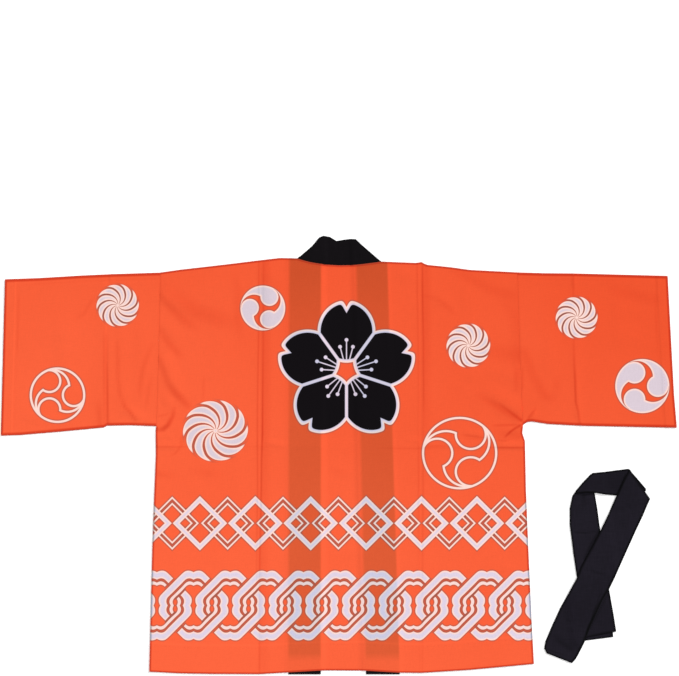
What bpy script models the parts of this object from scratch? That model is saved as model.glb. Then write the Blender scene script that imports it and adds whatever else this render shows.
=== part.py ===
"""A happi coat laid out flat with its back up, and its folded belt beside the skirt.

+X runs from the wearer's left cuff to the right one, +Y from hem to neck and +Z up.
The surface that the coat lies on is z = 0, and sizes below are millimetres.
"""

from math import hypot

import bmesh
import bpy

MM = 0.001

# Cloth
CLOTH = 1.0  # wall of one layer
SEAM_GAP = 0.3  # between any two pieces
COLLAR_THICK = 1.6  # the collar band, folded double
BELT_THICK = 2.0  # the belt, laid double

# How far a layer takes to sink from what it lies on to the surface below
SINK_RUN = 9.0
SINK_MARGIN = 1.5
SINK_MIDDLE = 0.6  # share of the sink at which the back has a column of points
COLLAR_SINK_MARGIN = 5.5

# Coat
HALF_SPAN = 632.0  # middle to cuff
HALF_HEIGHT = 409.5  # middle of the whole outline to the collar's top and to its hem ends
BODY_LENGTH = 759.0  # neck seam to hem
UNDERARM = (20.0, 60.0)  # the stretch of the side edges that turns into the armholes
UNDERARM_FOLDS = (35.0, 125.0)  # the stretch that the soft folds cross
HEM_DEPTH = 56.0
HEM_RISE = 0.5  # the turned-up cloth under the hem
HEM_STEP = 4.0  # over which the hem's turned-up edge shows
CUFF_HEM_DEPTH = 22.0
CUFF_HEM_RISE = 0.4
CUFF_HEM_STEP = 3.0
FRONT_HEM_INSET = 2.5

# Pressed folds left by packing
FOLD_HALF_WIDTH = 5.0
FOLD_RISE = 1.2
LEFT_FOLD = -147.4
RIGHT_FOLD = 154.6
CROSS_FOLD_HALF_WIDTH = 8.0
FOLD_SHARES = (-1.0, -0.5, 0.0, 0.5, 1.0)  # of its half width, where a fold has points
SOFT_FOLD_FADE = 0.8  # how much of a soft fold is gone at its far end
CROSS_FOLD_LEVEL = 0.565  # share of the way from hem to shoulder
LEFT_SLEEVE_FOLD = 0.665  # share of the way from cuff to seam
RIGHT_SLEEVE_FOLD = 0.372  # share of the way from seam to cuff

# Grid spacing
COLUMN_STEP = 25.0
ROW_STEP = 27.0
FINE_STEP = 15.0  # near the underarms, where the soft folds are
FRONT_COLUMN_SHARE = 0.15
SLEEVE_COLUMN_SHARE = 0.08
SLEEVE_LEVEL_SHARE = 0.1
SLEEVE_LOW_LEVELS = (0.06, 0.12)  # near the underarm seam
SLEEVE_EDGE = 1.2  # from a sleeve's folded edge to the first points of its flat layers
SLEEVE_INNER_EDGE = 1.8  # the same inside the sleeve
PLACE_ROUNDS = 4
SHARP_ANGLE = 0.6  # radians
BAND_INNER = 20.0  # from a collar band's edge to the back's next column over it

# Columns of the back beside and between the collar bands: x at the shoulder, x at the hem
BESIDE_LEFT_BAND = (-120.0, -121.0)
BETWEEN_BANDS = (-1.0, 8.0)
BESIDE_RIGHT_BAND = (122.0, 136.0)

# Stretches of the back near the underarms: x from, x to
NEAR_LEFT_UNDERARM = (-322.0, -245.0)
NEAR_RIGHT_UNDERARM = (225.0, 325.0)

# Outlines: x, y
LEFT_SIDE = (
    (-354.6, -404.7),
    (-352.3, -307.8),
    (-348.9, -176.9),
    (-345.6, -83.4),
    (-342.2, 0.7),
    (-342.6, 45.6),
    (-341.5, 54.4),
    (-339.6, 103.6),
    (-333.8, 341.8),
)
RIGHT_SIDE = (
    (364.8, -390.1),
    (360.5, -307.8),
    (355.3, -195.6),
    (349.9, -64.7),
    (348.0, 26.9),
    (343.1, 41.0),
    (344.5, 56.8),
    (341.6, 103.6),
    (333.8, 342.2),
)
SHOULDERS_AND_NECK = (
    (-333.8, 341.8),
    (-297.0, 347.1),
    (-207.2, 357.4),
    (-147.4, 364.8),
    (-110.0, 369.1),
    (-78.2, 368.4),
    (-53.9, 361.7),
    (-25.8, 357.2),
    (2.2, 355.5),
    (30.3, 356.4),
    (54.6, 359.2),
    (78.9, 362.4),
    (144.4, 359.8),
    (154.6, 361.5),
    (163.1, 356.4),
    (207.9, 351.9),
    (245.3, 346.7),
    (333.8, 342.2),
)
HEM = (
    (-354.6, -404.7),
    (-297.0, -407.7),
    (-239.0, -408.8),
    (-147.4, -409.2),
    (-95.0, -406.0),
    (-33.3, -402.4),
    (50.9, -402.8),
    (114.4, -406.5),
    (153.5, -406.9),
    (243.5, -401.3),
    (364.8, -390.1),
)
LEFT_CUFF = (
    (-HALF_SPAN, 36.7),
    (-627.9, 197.1),
    (-624.4, 329.3),
)
RIGHT_CUFF = (
    (HALF_SPAN, 51.4),
    (626.8, 112.9),
    (621.2, 215.8),
    (614.9, 335.7),
)
LEFT_SLEEVE_TOP = (
    (-624.4, 329.3),
    (-558.8, 331.7),
    (-484.0, 336.2),
    (-427.9, 338.8),
    (-333.8, 341.8),
)
LEFT_SLEEVE_UNDERARM = (
    (-HALF_SPAN, 36.7),
    (-596.2, 37.8),
    (-521.4, 44.1),
    (-439.1, 52.0),
    (-433.5, 55.4),
    (-390.5, 56.1),
    (-341.5, 54.4),
)
RIGHT_SLEEVE_TOP = (
    (333.8, 342.2),
    (385.6, 340.7),
    (438.0, 340.3),
    (614.9, 335.7),
)
RIGHT_SLEEVE_UNDERARM = (
    (344.5, 56.8),
    (351.9, 62.1),
    (361.3, 63.2),
    (390.5, 58.5),
    (451.0, 55.2),
    (HALF_SPAN, 51.4),
)

# Edges of the collar's two front bands: x, y
LEFT_BAND_SEAM = ((-94.6, -HALF_HEIGHT), (-92.2, 369.0))
LEFT_BAND_FREE = ((-33.7, -HALF_HEIGHT), (-33.3, 408.5))
RIGHT_BAND_FREE = ((50.9, -HALF_HEIGHT), (40.6, -46.0), (31.2, 403.5))
RIGHT_BAND_SEAM = ((114.1, -HALF_HEIGHT), (102.5, -46.0), (89.2, 362.0))
BAND_LEVELS = (-409.5, -400.0, -340.0, -240.0, -140.0, -40.0, 60.0, 160.0, 260.0, 345.0)

# Their slanted upper ends, where the collar folds over: x, y of one edge, x, y of the other
LEFT_BAND_END = (
    (-92.2, 362.0, -33.3, 372.0),
    (-79.5, 368.2, -34.2, 408.3),
)
RIGHT_BAND_END = (
    (32.2, 372.0, 89.4, 357.0),
    (31.8, 403.3, 79.5, 362.0),
)

# The collar's back part: x, y of its neck seam, then of its top fold
COLLAR_BACK = (
    (-76.5, 368.6, -75.5, 370.4),
    (-67.0, 365.6, -66.9, 377.4),
    (-54.5, 362.3, -55.2, 388.3),
    (-44.0, 360.3, -46.2, 398.4),
    (-34.0, 358.8, -37.5, 408.4),
    (-25.0, 357.5, -29.0, HALF_HEIGHT),
    (-15.0, 356.9, -17.0, 407.5),
    (-5.5, 356.2, -4.3, 401.2),
    (7.0, 356.0, 8.5, 403.3),
    (20.0, 356.4, 20.5, 404.8),
    (31.0, 356.9, 31.5, 404.3),
    (42.5, 358.1, 41.0, 395.5),
    (55.0, 359.6, 53.8, 382.6),
    (66.5, 361.1, 66.2, 371.2),
    (76.0, 362.4, 76.8, 364.3),
)

# Soft folds from the underarms: x, y where each is deepest, x, y where it fades, half width, rise
SOFT_FOLDS = (
    (340.0, 64.0, 228.0, 124.0, 13.0, 1.7),
    (340.0, 54.0, 304.0, 32.0, 11.0, 1.5),
    (-323.0, 290.0, -250.0, 206.0, 17.0, 1.2),
    (-323.0, 145.0, -282.0, 83.0, 15.0, 1.5),
    (-308.0, 84.0, -322.0, 50.0, 11.0, 1.3),
    (-350.0, 60.0, -404.0, 88.0, 12.0, 1.2),
    (352.0, 66.0, 372.0, 84.0, 10.0, 1.0),
)

# The belt's stretches: x, y of one edge, x, y of the other, from end to end
BELT_UNDER = (
    (456.7, -347.1, 511.8, -339.6),
    (452.0, -298.5, 508.1, -296.6),
    (446.4, -229.3, 500.6, -223.7),
    (440.8, -182.5, 495.9, -176.9),
    (434.8, -130.2, 488.8, -135.8),
    (433.5, -99.9, 482.8, -100.2),
    (439.4, -76.5, 478.7, -72.2),
    (456.7, -55.4, 476.8, -53.5),
    (472.5, -36.7, 475.8, -36.0),
)
BELT_TOP = (
    (444.4, -68.4, 445.0, -71.0),
    (460.4, -50.7, 462.3, -69.6),
    (474.4, -34.4, 478.0, -69.9),
    (497.8, -31.6, 499.7, -72.7),
    (520.2, -29.2, 522.1, -75.5),
    (540.8, -27.3, 544.5, -74.1),
    (555.8, -45.1, 561.4, -71.2),
    (570.3, -64.0, 571.5, -67.5),
)
BELT_OVER = (
    (542.3, -27.3, 579.7, -81.2),
    (530.5, -49.7, 566.0, -110.5),
    (518.9, -75.2, 552.0, -141.4),
    (504.3, -107.7, 538.9, -169.4),
    (489.6, -139.5, 524.9, -200.8),
    (471.6, -173.2, 512.8, -227.4),
    (452.9, -207.8, 502.5, -250.6),
    (446.0, -228.9, 493.1, -270.4),
    (430.5, -259.2, 481.0, -296.6),
    (416.4, -287.2, 469.7, -321.8),
    (401.5, -318.1, 458.1, -346.3),
    (388.5, -348.0, 444.5, -370.4),
    (387.0, -364.8, 434.8, -387.3),
)
COLLAR_STATION_STEP = 6.0
BELT_LAYER_STEP = 5.0  # how far one layer shows beyond the other
BELT_STATION_STEP = 15.0
BELT_MARGIN = 13.0
BELT_SINK_RUN = 16.0

# Shares of a band's width at which its flat faces have points
BAND_SHARES = (0.2, 0.4, 0.6, 0.8)
EDGE_ROUND = 0.3  # a band edge's rounding
EDGE_ROUND_LEVEL = 0.15  # share of the thickness that it takes
EDGE_GROOVE = 1.5  # depth of the groove between its two layers
CREASE_TOP = 0.25  # share of the two layers' thickness that the groove opens over
EDGE_POINTS = 7  # points up one edge of a band, the groove's bottom in the middle
NARROW_BAND = 6.0  # a band narrower than this many groove depths has shallower grooves

# Finishes: linear colour, roughness
FINISHES = {
    "printed_cotton": ((0.93, 0.125, 0.042), 0.85),
    "collar_cotton": ((0.013, 0.011, 0.014), 0.8),
    "belt_cotton": ((0.017, 0.015, 0.02), 0.8),
}


def mix(low, high, share):
    return low + (high - low) * share


def read(table, value, given, wanted):
    """The wanted column of a table where the given column has this value, straight between its rows."""
    rows = sorted(table, key=lambda row: row[given])
    if value <= rows[0][given]:
        return rows[0][wanted]
    for low, high in zip(rows, rows[1:]):
        if value <= high[given]:
            share = (value - low[given]) / (high[given] - low[given])
            return mix(low[wanted], high[wanted], share)
    return rows[-1][wanted]


def x_at(table, y):
    return read(table, y, 1, 0)


def y_at(table, x):
    return read(table, x, 0, 1)


def filled(marks, step):
    """The sorted marks, with evenly spaced values added wherever two are more than a step apart."""
    marks = sorted(marks)
    values = [marks[0]]
    for low, high in zip(marks, marks[1:]):
        count = max(1, round((high - low) / step))
        values += [mix(low, high, i / count) for i in range(1, count + 1)]
    return values


def smooth(share):
    share = min(1.0, max(0.0, share))
    return share * share * (3 - 2 * share)


def hump(distance, half_width):
    """1 on a fold's line, falling to 0 at its half width."""
    return max(0.0, 1 - (distance / half_width) ** 2)


def nearest_on_segment(x, y, start, end):
    """Distance from a point to a segment, and the share of the segment's length where it is nearest."""
    run = (end[0] - start[0], end[1] - start[1])
    length = run[0] ** 2 + run[1] ** 2
    share = ((x - start[0]) * run[0] + (y - start[1]) * run[1]) / length
    share = min(1.0, max(0.0, share))
    return hypot(x - mix(start[0], end[0], share), y - mix(start[1], end[1], share)), share


def distance_outside(x, y, outline):
    """How far a point lies outside a closed outline, 0 inside it."""
    inside = False
    nearest = float("inf")
    for start, end in zip(outline, outline[1:] + outline[:1]):
        if (start[1] > y) != (end[1] > y):
            crossing = mix(start[0], end[0], (y - start[1]) / (end[1] - start[1]))
            inside ^= x < crossing
        nearest = min(nearest, nearest_on_segment(x, y, start, end)[0])
    return 0.0 if inside else nearest


def lying_on(layers, margin, run):
    """The height at which cloth lies over lower layers, each an outline and the height of its top."""

    def height(x, y):
        heights = [0.0]
        for outline, top in layers:
            away = distance_outside(x, y, outline) - margin
            heights.append((top + SEAM_GAP) * smooth(1 - away / run))
        return max(heights)

    return height


def on_surface(x, y):
    return 0.0


def soft_folds(x, y):
    """How far the underarm folds lift the cloth."""
    rise = 0.0
    for x0, y0, x1, y1, half_width, top in SOFT_FOLDS:
        distance, share = nearest_on_segment(x, y, (x0, y0), (x1, y1))
        rise += top * hump(distance, half_width) ** 2 * (1 - SOFT_FOLD_FADE * share)
    return rise


# ---- panels ----


def place(left, right, bottom, top, column, level):
    """x, y on a panel: column gives x from y, or a share of the way from its left edge to its right one,
    and level is the share of the way up from its bottom edge."""
    x = 0.5 * (left[0][0] + right[0][0])
    y = mix(y_at(bottom, x), y_at(top, x), level)
    for _ in range(PLACE_ROUNDS):
        x = column(y) if callable(column) else mix(x_at(left, y), x_at(right, y), column)
        y = mix(y_at(bottom, x), y_at(top, x), level)
    return x, y


def finish_material(name):
    colour, roughness = FINISHES[name]
    material = bpy.data.materials.get(name) or bpy.data.materials.new(name)
    material.use_nodes = True
    shader = material.node_tree.nodes["Principled BSDF"]
    shader.inputs["Base Color"].default_value = (*colour, 1)
    shader.inputs["Roughness"].default_value = roughness
    shader.inputs["Metallic"].default_value = 0.0
    return material


def add_piece(name, mesh, finish):
    """Makes the closed mesh an object, in metres, its faces outwards and its rounded sides smooth."""
    bmesh.ops.scale(mesh, vec=(MM, MM, MM), verts=mesh.verts)
    bmesh.ops.recalc_face_normals(mesh, faces=mesh.faces)
    if mesh.calc_volume(signed=True) < 0:
        bmesh.ops.reverse_faces(mesh, faces=mesh.faces)
    data = bpy.data.meshes.new(name)
    mesh.to_mesh(data)
    mesh.free()
    data.shade_smooth()
    data.set_sharp_from_angle(angle=SHARP_ANGLE)
    data.materials.append(finish_material(finish))
    piece = bpy.data.objects.new(name, data)
    bpy.context.scene.collection.objects.link(piece)
    return piece


def add_panel(name, grid, under, thickness, finish):
    """A sheet of cloth: grid holds columns of x, y points, and under gives the height of its underside."""
    mesh = bmesh.new()
    low = [[mesh.verts.new((x, y, under(x, y))) for x, y in column] for column in grid]
    high = [
        [mesh.verts.new((x, y, under(x, y) + thickness)) for x, y in column]
        for column in grid
    ]
    last_column = len(grid) - 1
    last_row = len(grid[0]) - 1
    for i in range(last_column):
        for j in range(last_row):
            up = (high[i][j], high[i + 1][j], high[i + 1][j + 1], high[i][j + 1])
            down = (low[i][j], low[i][j + 1], low[i + 1][j + 1], low[i + 1][j])
            mesh.faces.new(up)
            mesh.faces.new(down)
    for i in range(last_column):
        for j in (0, last_row):
            mesh.faces.new((low[i][j], low[i + 1][j], high[i + 1][j], high[i][j]))
    for j in range(last_row):
        for i in (0, last_column):
            mesh.faces.new((low[i][j], low[i][j + 1], high[i][j + 1], high[i][j]))
    return add_piece(name, mesh, finish)


def straight(top_x, hem_x):
    """A column of the back, from its x at the collar's top to its x at the hem."""
    return lambda y: mix(hem_x, top_x, (y + HALF_HEIGHT) / (2 * HALF_HEIGHT))


def shifted(table, by):
    return lambda y: x_at(table, y) + by


def fold_marks(middle, half_width):
    return [middle + half_width * share for share in FOLD_SHARES]


def moved(table, by_x=0.0, by_y=0.0):
    return tuple((x + by_x, y + by_y) for x, y in table)


def upright(values):
    return [straight(x, x) for x in values]


def back_columns():
    """The back's inner columns, left to right: they run along its pressed folds and the collar bands."""
    sink = SINK_MARGIN + SINK_RUN
    halfway = SINK_MIDDLE * sink
    left = filled(NEAR_LEFT_UNDERARM, FINE_STEP)
    right = filled(NEAR_RIGHT_UNDERARM, FINE_STEP)
    columns = upright(filled([*left, LEFT_FOLD - FOLD_HALF_WIDTH], COLUMN_STEP))
    columns += upright(fold_marks(LEFT_FOLD, FOLD_HALF_WIDTH)[1:])
    columns += [straight(*BESIDE_LEFT_BAND)]
    columns += [shifted(LEFT_BAND_SEAM, by) for by in (-sink, -SINK_MARGIN, BAND_INNER)]
    columns += [shifted(LEFT_BAND_FREE, by) for by in (-BAND_INNER, SINK_MARGIN, halfway, sink)]
    columns += [straight(*BETWEEN_BANDS)]
    columns += [shifted(RIGHT_BAND_FREE, by) for by in (-sink, -halfway, -SINK_MARGIN, BAND_INNER)]
    columns += [shifted(RIGHT_BAND_SEAM, by) for by in (-BAND_INNER, SINK_MARGIN, sink)]
    columns += [straight(*BESIDE_RIGHT_BAND)]
    columns += upright(fold_marks(RIGHT_FOLD, FOLD_HALF_WIDTH)[:-1])
    return columns + upright(filled([RIGHT_FOLD + FOLD_HALF_WIDTH, *right], COLUMN_STEP))


def body_levels(marks, step):
    return filled([0.0, *marks, 1.0], step / BODY_LENGTH)


def underarm_levels(side):
    """Where a side edge turns into the armhole, as shares of the way up it."""
    bottom = side[0][1]
    top = side[-1][1]
    return [(y - bottom) / (top - bottom) for x, y in side if UNDERARM[0] < y < UNDERARM[1]]


def front_outline(side, seam):
    """A front's outline, for what lies on it: up its side, along the shoulder, down the collar's seam."""
    shoulder_x = sorted((side[-1][0], seam[-1][0]))
    hem_x = sorted((side[0][0], seam[0][0]))
    shoulder = [row for row in SHOULDERS_AND_NECK if shoulder_x[0] <= row[0] <= shoulder_x[1]]
    hem = [row for row in HEM if hem_x[0] < row[0] < hem_x[1]]
    on_left = side[0][0] < seam[0][0]
    if on_left:
        hem.reverse()
    else:
        shoulder.reverse()
    return [*side[:-1], *shoulder, *reversed(seam), *hem]


def band_outline(seam, free):
    return [seam[0], *free, seam[-1], *seam[1:-1][::-1]]


def build_back():
    columns = back_columns()
    fronts = [
        (front_outline(LEFT_SIDE, LEFT_BAND_SEAM), CLOTH),
        (front_outline(RIGHT_SIDE, RIGHT_BAND_SEAM), CLOTH),
    ]
    bands = [
        (band_outline(LEFT_BAND_SEAM, LEFT_BAND_FREE), COLLAR_THICK),
        (band_outline(RIGHT_BAND_SEAM, RIGHT_BAND_FREE), COLLAR_THICK),
    ]
    layers = lying_on(fronts + bands, SINK_MARGIN, SINK_RUN)

    def under(x, y):
        height = layers(x, y) + soft_folds(x, y)
        for middle in (LEFT_FOLD, RIGHT_FOLD):
            height += FOLD_RISE * hump(x - middle, FOLD_HALF_WIDTH)
        bottom = y_at(HEM, x)
        cross = mix(bottom, y_at(SHOULDERS_AND_NECK, x), CROSS_FOLD_LEVEL)
        height += FOLD_RISE * hump(y - cross, CROSS_FOLD_HALF_WIDTH)
        return height + HEM_RISE * smooth((bottom + HEM_DEPTH - y) / HEM_STEP)

    hem_level = HEM_DEPTH / BODY_LENGTH
    bottom = LEFT_SIDE[0][1]
    near_underarm = [(y - bottom) / BODY_LENGTH for y in UNDERARM_FOLDS]
    levels = body_levels(
        [
            hem_level - HEM_STEP / BODY_LENGTH,
            hem_level,
            *fold_marks(CROSS_FOLD_LEVEL, CROSS_FOLD_HALF_WIDTH / BODY_LENGTH),
            *underarm_levels(LEFT_SIDE),
            *underarm_levels(RIGHT_SIDE),
            *filled(near_underarm, FINE_STEP / BODY_LENGTH),
        ],
        ROW_STEP,
    )
    edges = (LEFT_SIDE, RIGHT_SIDE, HEM, SHOULDERS_AND_NECK)
    columns = [0.0, *columns, 1.0]
    grid = [[place(*edges, column, level) for level in levels] for column in columns]
    return add_panel("back", grid, under, CLOTH, "printed_cotton")


def build_fronts():
    hem = moved(HEM, by_y=FRONT_HEM_INSET)
    shares = filled([0.0, 1.0], FRONT_COLUMN_SHARE)
    left = (LEFT_SIDE, moved(LEFT_BAND_SEAM, by_x=-SEAM_GAP), hem, SHOULDERS_AND_NECK)
    right = (moved(RIGHT_BAND_SEAM, by_x=SEAM_GAP), RIGHT_SIDE, hem, SHOULDERS_AND_NECK)
    fronts = (("front_left", LEFT_SIDE, left), ("front_right", RIGHT_SIDE, right))
    for name, side, edges in fronts:
        levels = body_levels(underarm_levels(side), 2 * ROW_STEP)
        grid = [[place(*edges, share, level) for level in levels] for share in shares]
        add_panel(name, grid, on_surface, CLOTH, "printed_cotton")


# ---- sleeves ----


def add_tube(name, grid, rise, finish):
    """A sleeve pressed flat: a wall all round, open at the armhole and the cuff.

    grid holds columns of x, y points, each from the underarm seam to the top fold.
    """
    top = 2 * CLOTH + SEAM_GAP
    middle = 0.5 * top
    mesh = bmesh.new()
    rings = []
    for column in grid:
        outer = [(*column[0], middle)]
        inner = [(column[0][0], column[0][1] + CLOTH, middle)]
        inner_low = column[0][1] + SLEEVE_INNER_EDGE
        inner_high = column[-1][1] - SLEEVE_INNER_EDGE
        for x, y in column[1:-1]:
            outer.append((x, y, top + rise(x, y)))
            inner.append((x, min(max(y, inner_low), inner_high), top - CLOTH + rise(x, y)))
        outer.append((*column[-1], middle))
        inner.append((column[-1][0], column[-1][1] - CLOTH, middle))
        for x, y in reversed(column[1:-1]):
            outer.append((x, y, 0.0))
            inner.append((x, min(max(y, inner_low), inner_high), CLOTH))
        rings.append([[mesh.verts.new(point) for point in ring] for ring in (outer, inner)])
    count = len(rings[0][0])
    for k in range(count):
        after = (k + 1) % count
        for near, far in zip(rings, rings[1:]):
            for here, there in zip(near, far):
                mesh.faces.new((here[k], here[after], there[after], there[k]))
        for outer, inner in (rings[0], rings[-1]):
            mesh.faces.new((outer[k], outer[after], inner[after], inner[k]))
    return add_piece(name, mesh, finish)


def build_sleeve(name, edges, cuff, fold_share, fold_half_width, cuff_band):
    """A sleeve inside its left, right, bottom and top edges, its pressed fold at a share of its length."""
    folds = fold_marks(fold_share, fold_half_width)
    shares = filled([0.0, *folds, *cuff_band, 1.0], SLEEVE_COLUMN_SHARE)
    inset = SLEEVE_EDGE / (edges[3][0][1] - edges[2][0][1])
    levels = filled([inset, *SLEEVE_LOW_LEVELS, 1 - inset], SLEEVE_LEVEL_SHARE)

    def rise(x, y):
        left = x_at(edges[0], y)
        right = x_at(edges[1], y)
        share = (x - left) / (right - left)
        height = FOLD_RISE * hump(share - fold_share, fold_half_width) + soft_folds(x, y)
        into_hem = CUFF_HEM_DEPTH - abs(x - x_at(cuff, y))
        return height + CUFF_HEM_RISE * smooth(into_hem / CUFF_HEM_STEP)

    levels = [0.0, *levels, 1.0]
    grid = [[place(*edges, share, level) for level in levels] for share in shares]
    return add_tube(name, grid, rise, "printed_cotton")


def build_sleeves():
    left_seam = moved(LEFT_SIDE, by_x=-SEAM_GAP)
    right_seam = moved(RIGHT_SIDE, by_x=SEAM_GAP)
    length = HALF_SPAN - RIGHT_SIDE[-1][0]
    half_width = FOLD_HALF_WIDTH / length
    hem = CUFF_HEM_DEPTH / length
    step = CUFF_HEM_STEP / length
    left = (LEFT_CUFF, left_seam, LEFT_SLEEVE_UNDERARM, LEFT_SLEEVE_TOP)
    right = (right_seam, RIGHT_CUFF, RIGHT_SLEEVE_UNDERARM, RIGHT_SLEEVE_TOP)
    left_band = (hem - step, hem)
    right_band = (1 - hem, 1 - hem + step)
    build_sleeve("sleeve_left", left, LEFT_CUFF, LEFT_SLEEVE_FOLD, half_width, left_band)
    build_sleeve("sleeve_right", right, RIGHT_CUFF, RIGHT_SLEEVE_FOLD, half_width, right_band)


# ---- collar and belt: bands of doubled cloth ----


def band_section(first, second, thickness, insets, under):
    """The ring of points across a band, from its first edge to its second along the underside and back.

    insets holds how far the lower and the upper layer stop short of each edge.
    """
    width = hypot(second[0] - first[0], second[1] - first[1])
    (low_first, low_second), (high_first, high_second) = insets
    deepest = EDGE_GROOVE + max(low_first, low_second, high_first, high_second)
    limit = min(1.0, width / (NARROW_BAND * deepest))
    rounding = EDGE_ROUND * limit

    def point(from_first, share_of_thickness):
        share = from_first / width
        x = mix(first[0], second[0], share)
        y = mix(first[1], second[1], share)
        return (x, y, under(x, y) + share_of_thickness * thickness)

    def edge(low, high, far):
        """Points up one edge: rounded lower layer, groove, rounded upper layer."""
        low *= limit
        high *= limit
        groove = max(low, high) + EDGE_GROOVE * limit
        steps = (
            (low + rounding, 0.0),
            (low, EDGE_ROUND_LEVEL),
            (low, 0.5 - 0.5 * CREASE_TOP),
            (groove, 0.5),
            (high, 0.5 + 0.5 * CREASE_TOP),
            (high, 1 - EDGE_ROUND_LEVEL),
            (high + rounding, 1.0),
        )
        return [point(width - inset if far else inset, level) for inset, level in steps]

    ring = [point(share * width, 0.0) for share in BAND_SHARES]
    ring += edge(low_second, high_second, True)
    ring += [point(share * width, 1.0) for share in reversed(BAND_SHARES)]
    ring += reversed(edge(low_first, high_first, False))
    return ring


def close_end(mesh, ring):
    """Closes a band's end with one fan of faces for each layer, from the groove at either edge."""
    second_groove = len(BAND_SHARES) + EDGE_POINTS // 2
    first_groove = second_groove + len(BAND_SHARES) + EDGE_POINTS
    around = ring + ring
    for start, stop in ((second_groove, first_groove), (first_groove, second_groove + len(ring))):
        for k in range(start + 1, stop):
            mesh.faces.new((around[start], around[k], around[k + 1]))


def add_band(name, stations, thickness, insets, under, finish):
    """A band through its stations, each the x, y of its first edge and of its second."""
    mesh = bmesh.new()
    rings = []
    for station in stations:
        section = band_section(station[:2], station[2:], thickness, insets, under)
        rings.append([mesh.verts.new(point) for point in section])
    for near, far in zip(rings, rings[1:]):
        for k in range(len(near)):
            after = (k + 1) % len(near)
            mesh.faces.new((near[k], near[after], far[after], far[k]))
    for ring in (rings[0], rings[-1]):
        close_end(mesh, ring)
    return add_piece(name, mesh, finish)


def closer(stations, step):
    """The stations, with straight ones added so that no two are more than a step apart."""
    result = [stations[0]]
    for low, high in zip(stations, stations[1:]):
        first_run = hypot(high[0] - low[0], high[1] - low[1])
        second_run = hypot(high[2] - low[2], high[3] - low[3])
        count = max(1, round(max(first_run, second_run) / step))
        for i in range(1, count + 1):
            result.append(tuple(mix(a, b, i / count) for a, b in zip(low, high)))
    return result


def stations_outline(stations):
    return [row[:2] for row in stations] + [row[2:] for row in reversed(stations)]


def build_collar():
    """The two front bands, cut on the slant where the collar folds over, and its part behind the neck."""
    left = [(x_at(LEFT_BAND_SEAM, y), y, x_at(LEFT_BAND_FREE, y), y) for y in BAND_LEVELS]
    left += LEFT_BAND_END
    right = [(x_at(RIGHT_BAND_FREE, y), y, x_at(RIGHT_BAND_SEAM, y), y) for y in BAND_LEVELS]
    right += RIGHT_BAND_END
    plain = ((0.0, 0.0), (0.0, 0.0))
    cloth = "collar_cotton"
    add_band("collar_front_left", left, COLLAR_THICK, plain, on_surface, cloth)
    add_band("collar_front_right", right, COLLAR_THICK, plain, on_surface, cloth)
    layers = [(stations_outline(left), COLLAR_THICK), (stations_outline(right), COLLAR_THICK)]
    over = lying_on(layers, COLLAR_SINK_MARGIN, SINK_RUN)
    back = closer(COLLAR_BACK, COLLAR_STATION_STEP)
    add_band("collar_back", back, COLLAR_THICK, plain, over, cloth)


def build_belt():
    """The belt lies double in a loop: its end stretches cross, and each turn is folded over flat."""
    under_layer = (stations_outline(BELT_UNDER), BELT_THICK)
    top_layer = (stations_outline(BELT_TOP), BELT_THICK)
    on_under = lying_on([under_layer], BELT_MARGIN, BELT_SINK_RUN)
    on_both = lying_on([under_layer, top_layer], BELT_MARGIN, BELT_SINK_RUN)
    level = (0.0, 0.0)
    stepped = (0.0, BELT_LAYER_STEP)
    stretches = (
        ("belt_under", BELT_UNDER, (stepped, level), on_surface),
        ("belt_top", BELT_TOP, (level, level), on_under),
        ("belt_over", BELT_OVER, (level, stepped), on_both),
    )
    for name, table, insets, under in stretches:
        stations = closer(table, BELT_STATION_STEP)
        add_band(name, stations, BELT_THICK, insets, under, "belt_cotton")


def main():
    for old in list(bpy.data.objects):
        bpy.data.objects.remove(old)
    build_back()
    build_fronts()
    build_sleeves()
    build_collar()
    build_belt()


main()
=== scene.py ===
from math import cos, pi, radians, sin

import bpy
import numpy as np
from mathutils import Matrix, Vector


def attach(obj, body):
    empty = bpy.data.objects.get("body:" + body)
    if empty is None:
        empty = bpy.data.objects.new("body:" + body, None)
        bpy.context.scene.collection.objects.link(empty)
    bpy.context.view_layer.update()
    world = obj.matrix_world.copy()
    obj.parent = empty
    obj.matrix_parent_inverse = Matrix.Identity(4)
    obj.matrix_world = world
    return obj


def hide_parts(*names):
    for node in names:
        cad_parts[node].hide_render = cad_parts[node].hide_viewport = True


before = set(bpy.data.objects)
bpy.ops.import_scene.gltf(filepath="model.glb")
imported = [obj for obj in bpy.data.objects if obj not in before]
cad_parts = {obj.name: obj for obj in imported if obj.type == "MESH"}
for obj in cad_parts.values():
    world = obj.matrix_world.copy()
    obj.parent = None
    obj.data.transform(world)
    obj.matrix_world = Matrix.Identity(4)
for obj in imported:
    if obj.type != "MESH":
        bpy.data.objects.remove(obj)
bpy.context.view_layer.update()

# The happi coat laid flat with its back up, and its folded belt beside the skirt.
# +X runs from the wearer's left cuff to the right one, +Y from hem to neck and +Z up.
# Tables and sizes are millimetres, and the surface that the coat lies on is z = 0.

MM = 0.001

# ---- sizes shared with the solids ----

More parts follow.
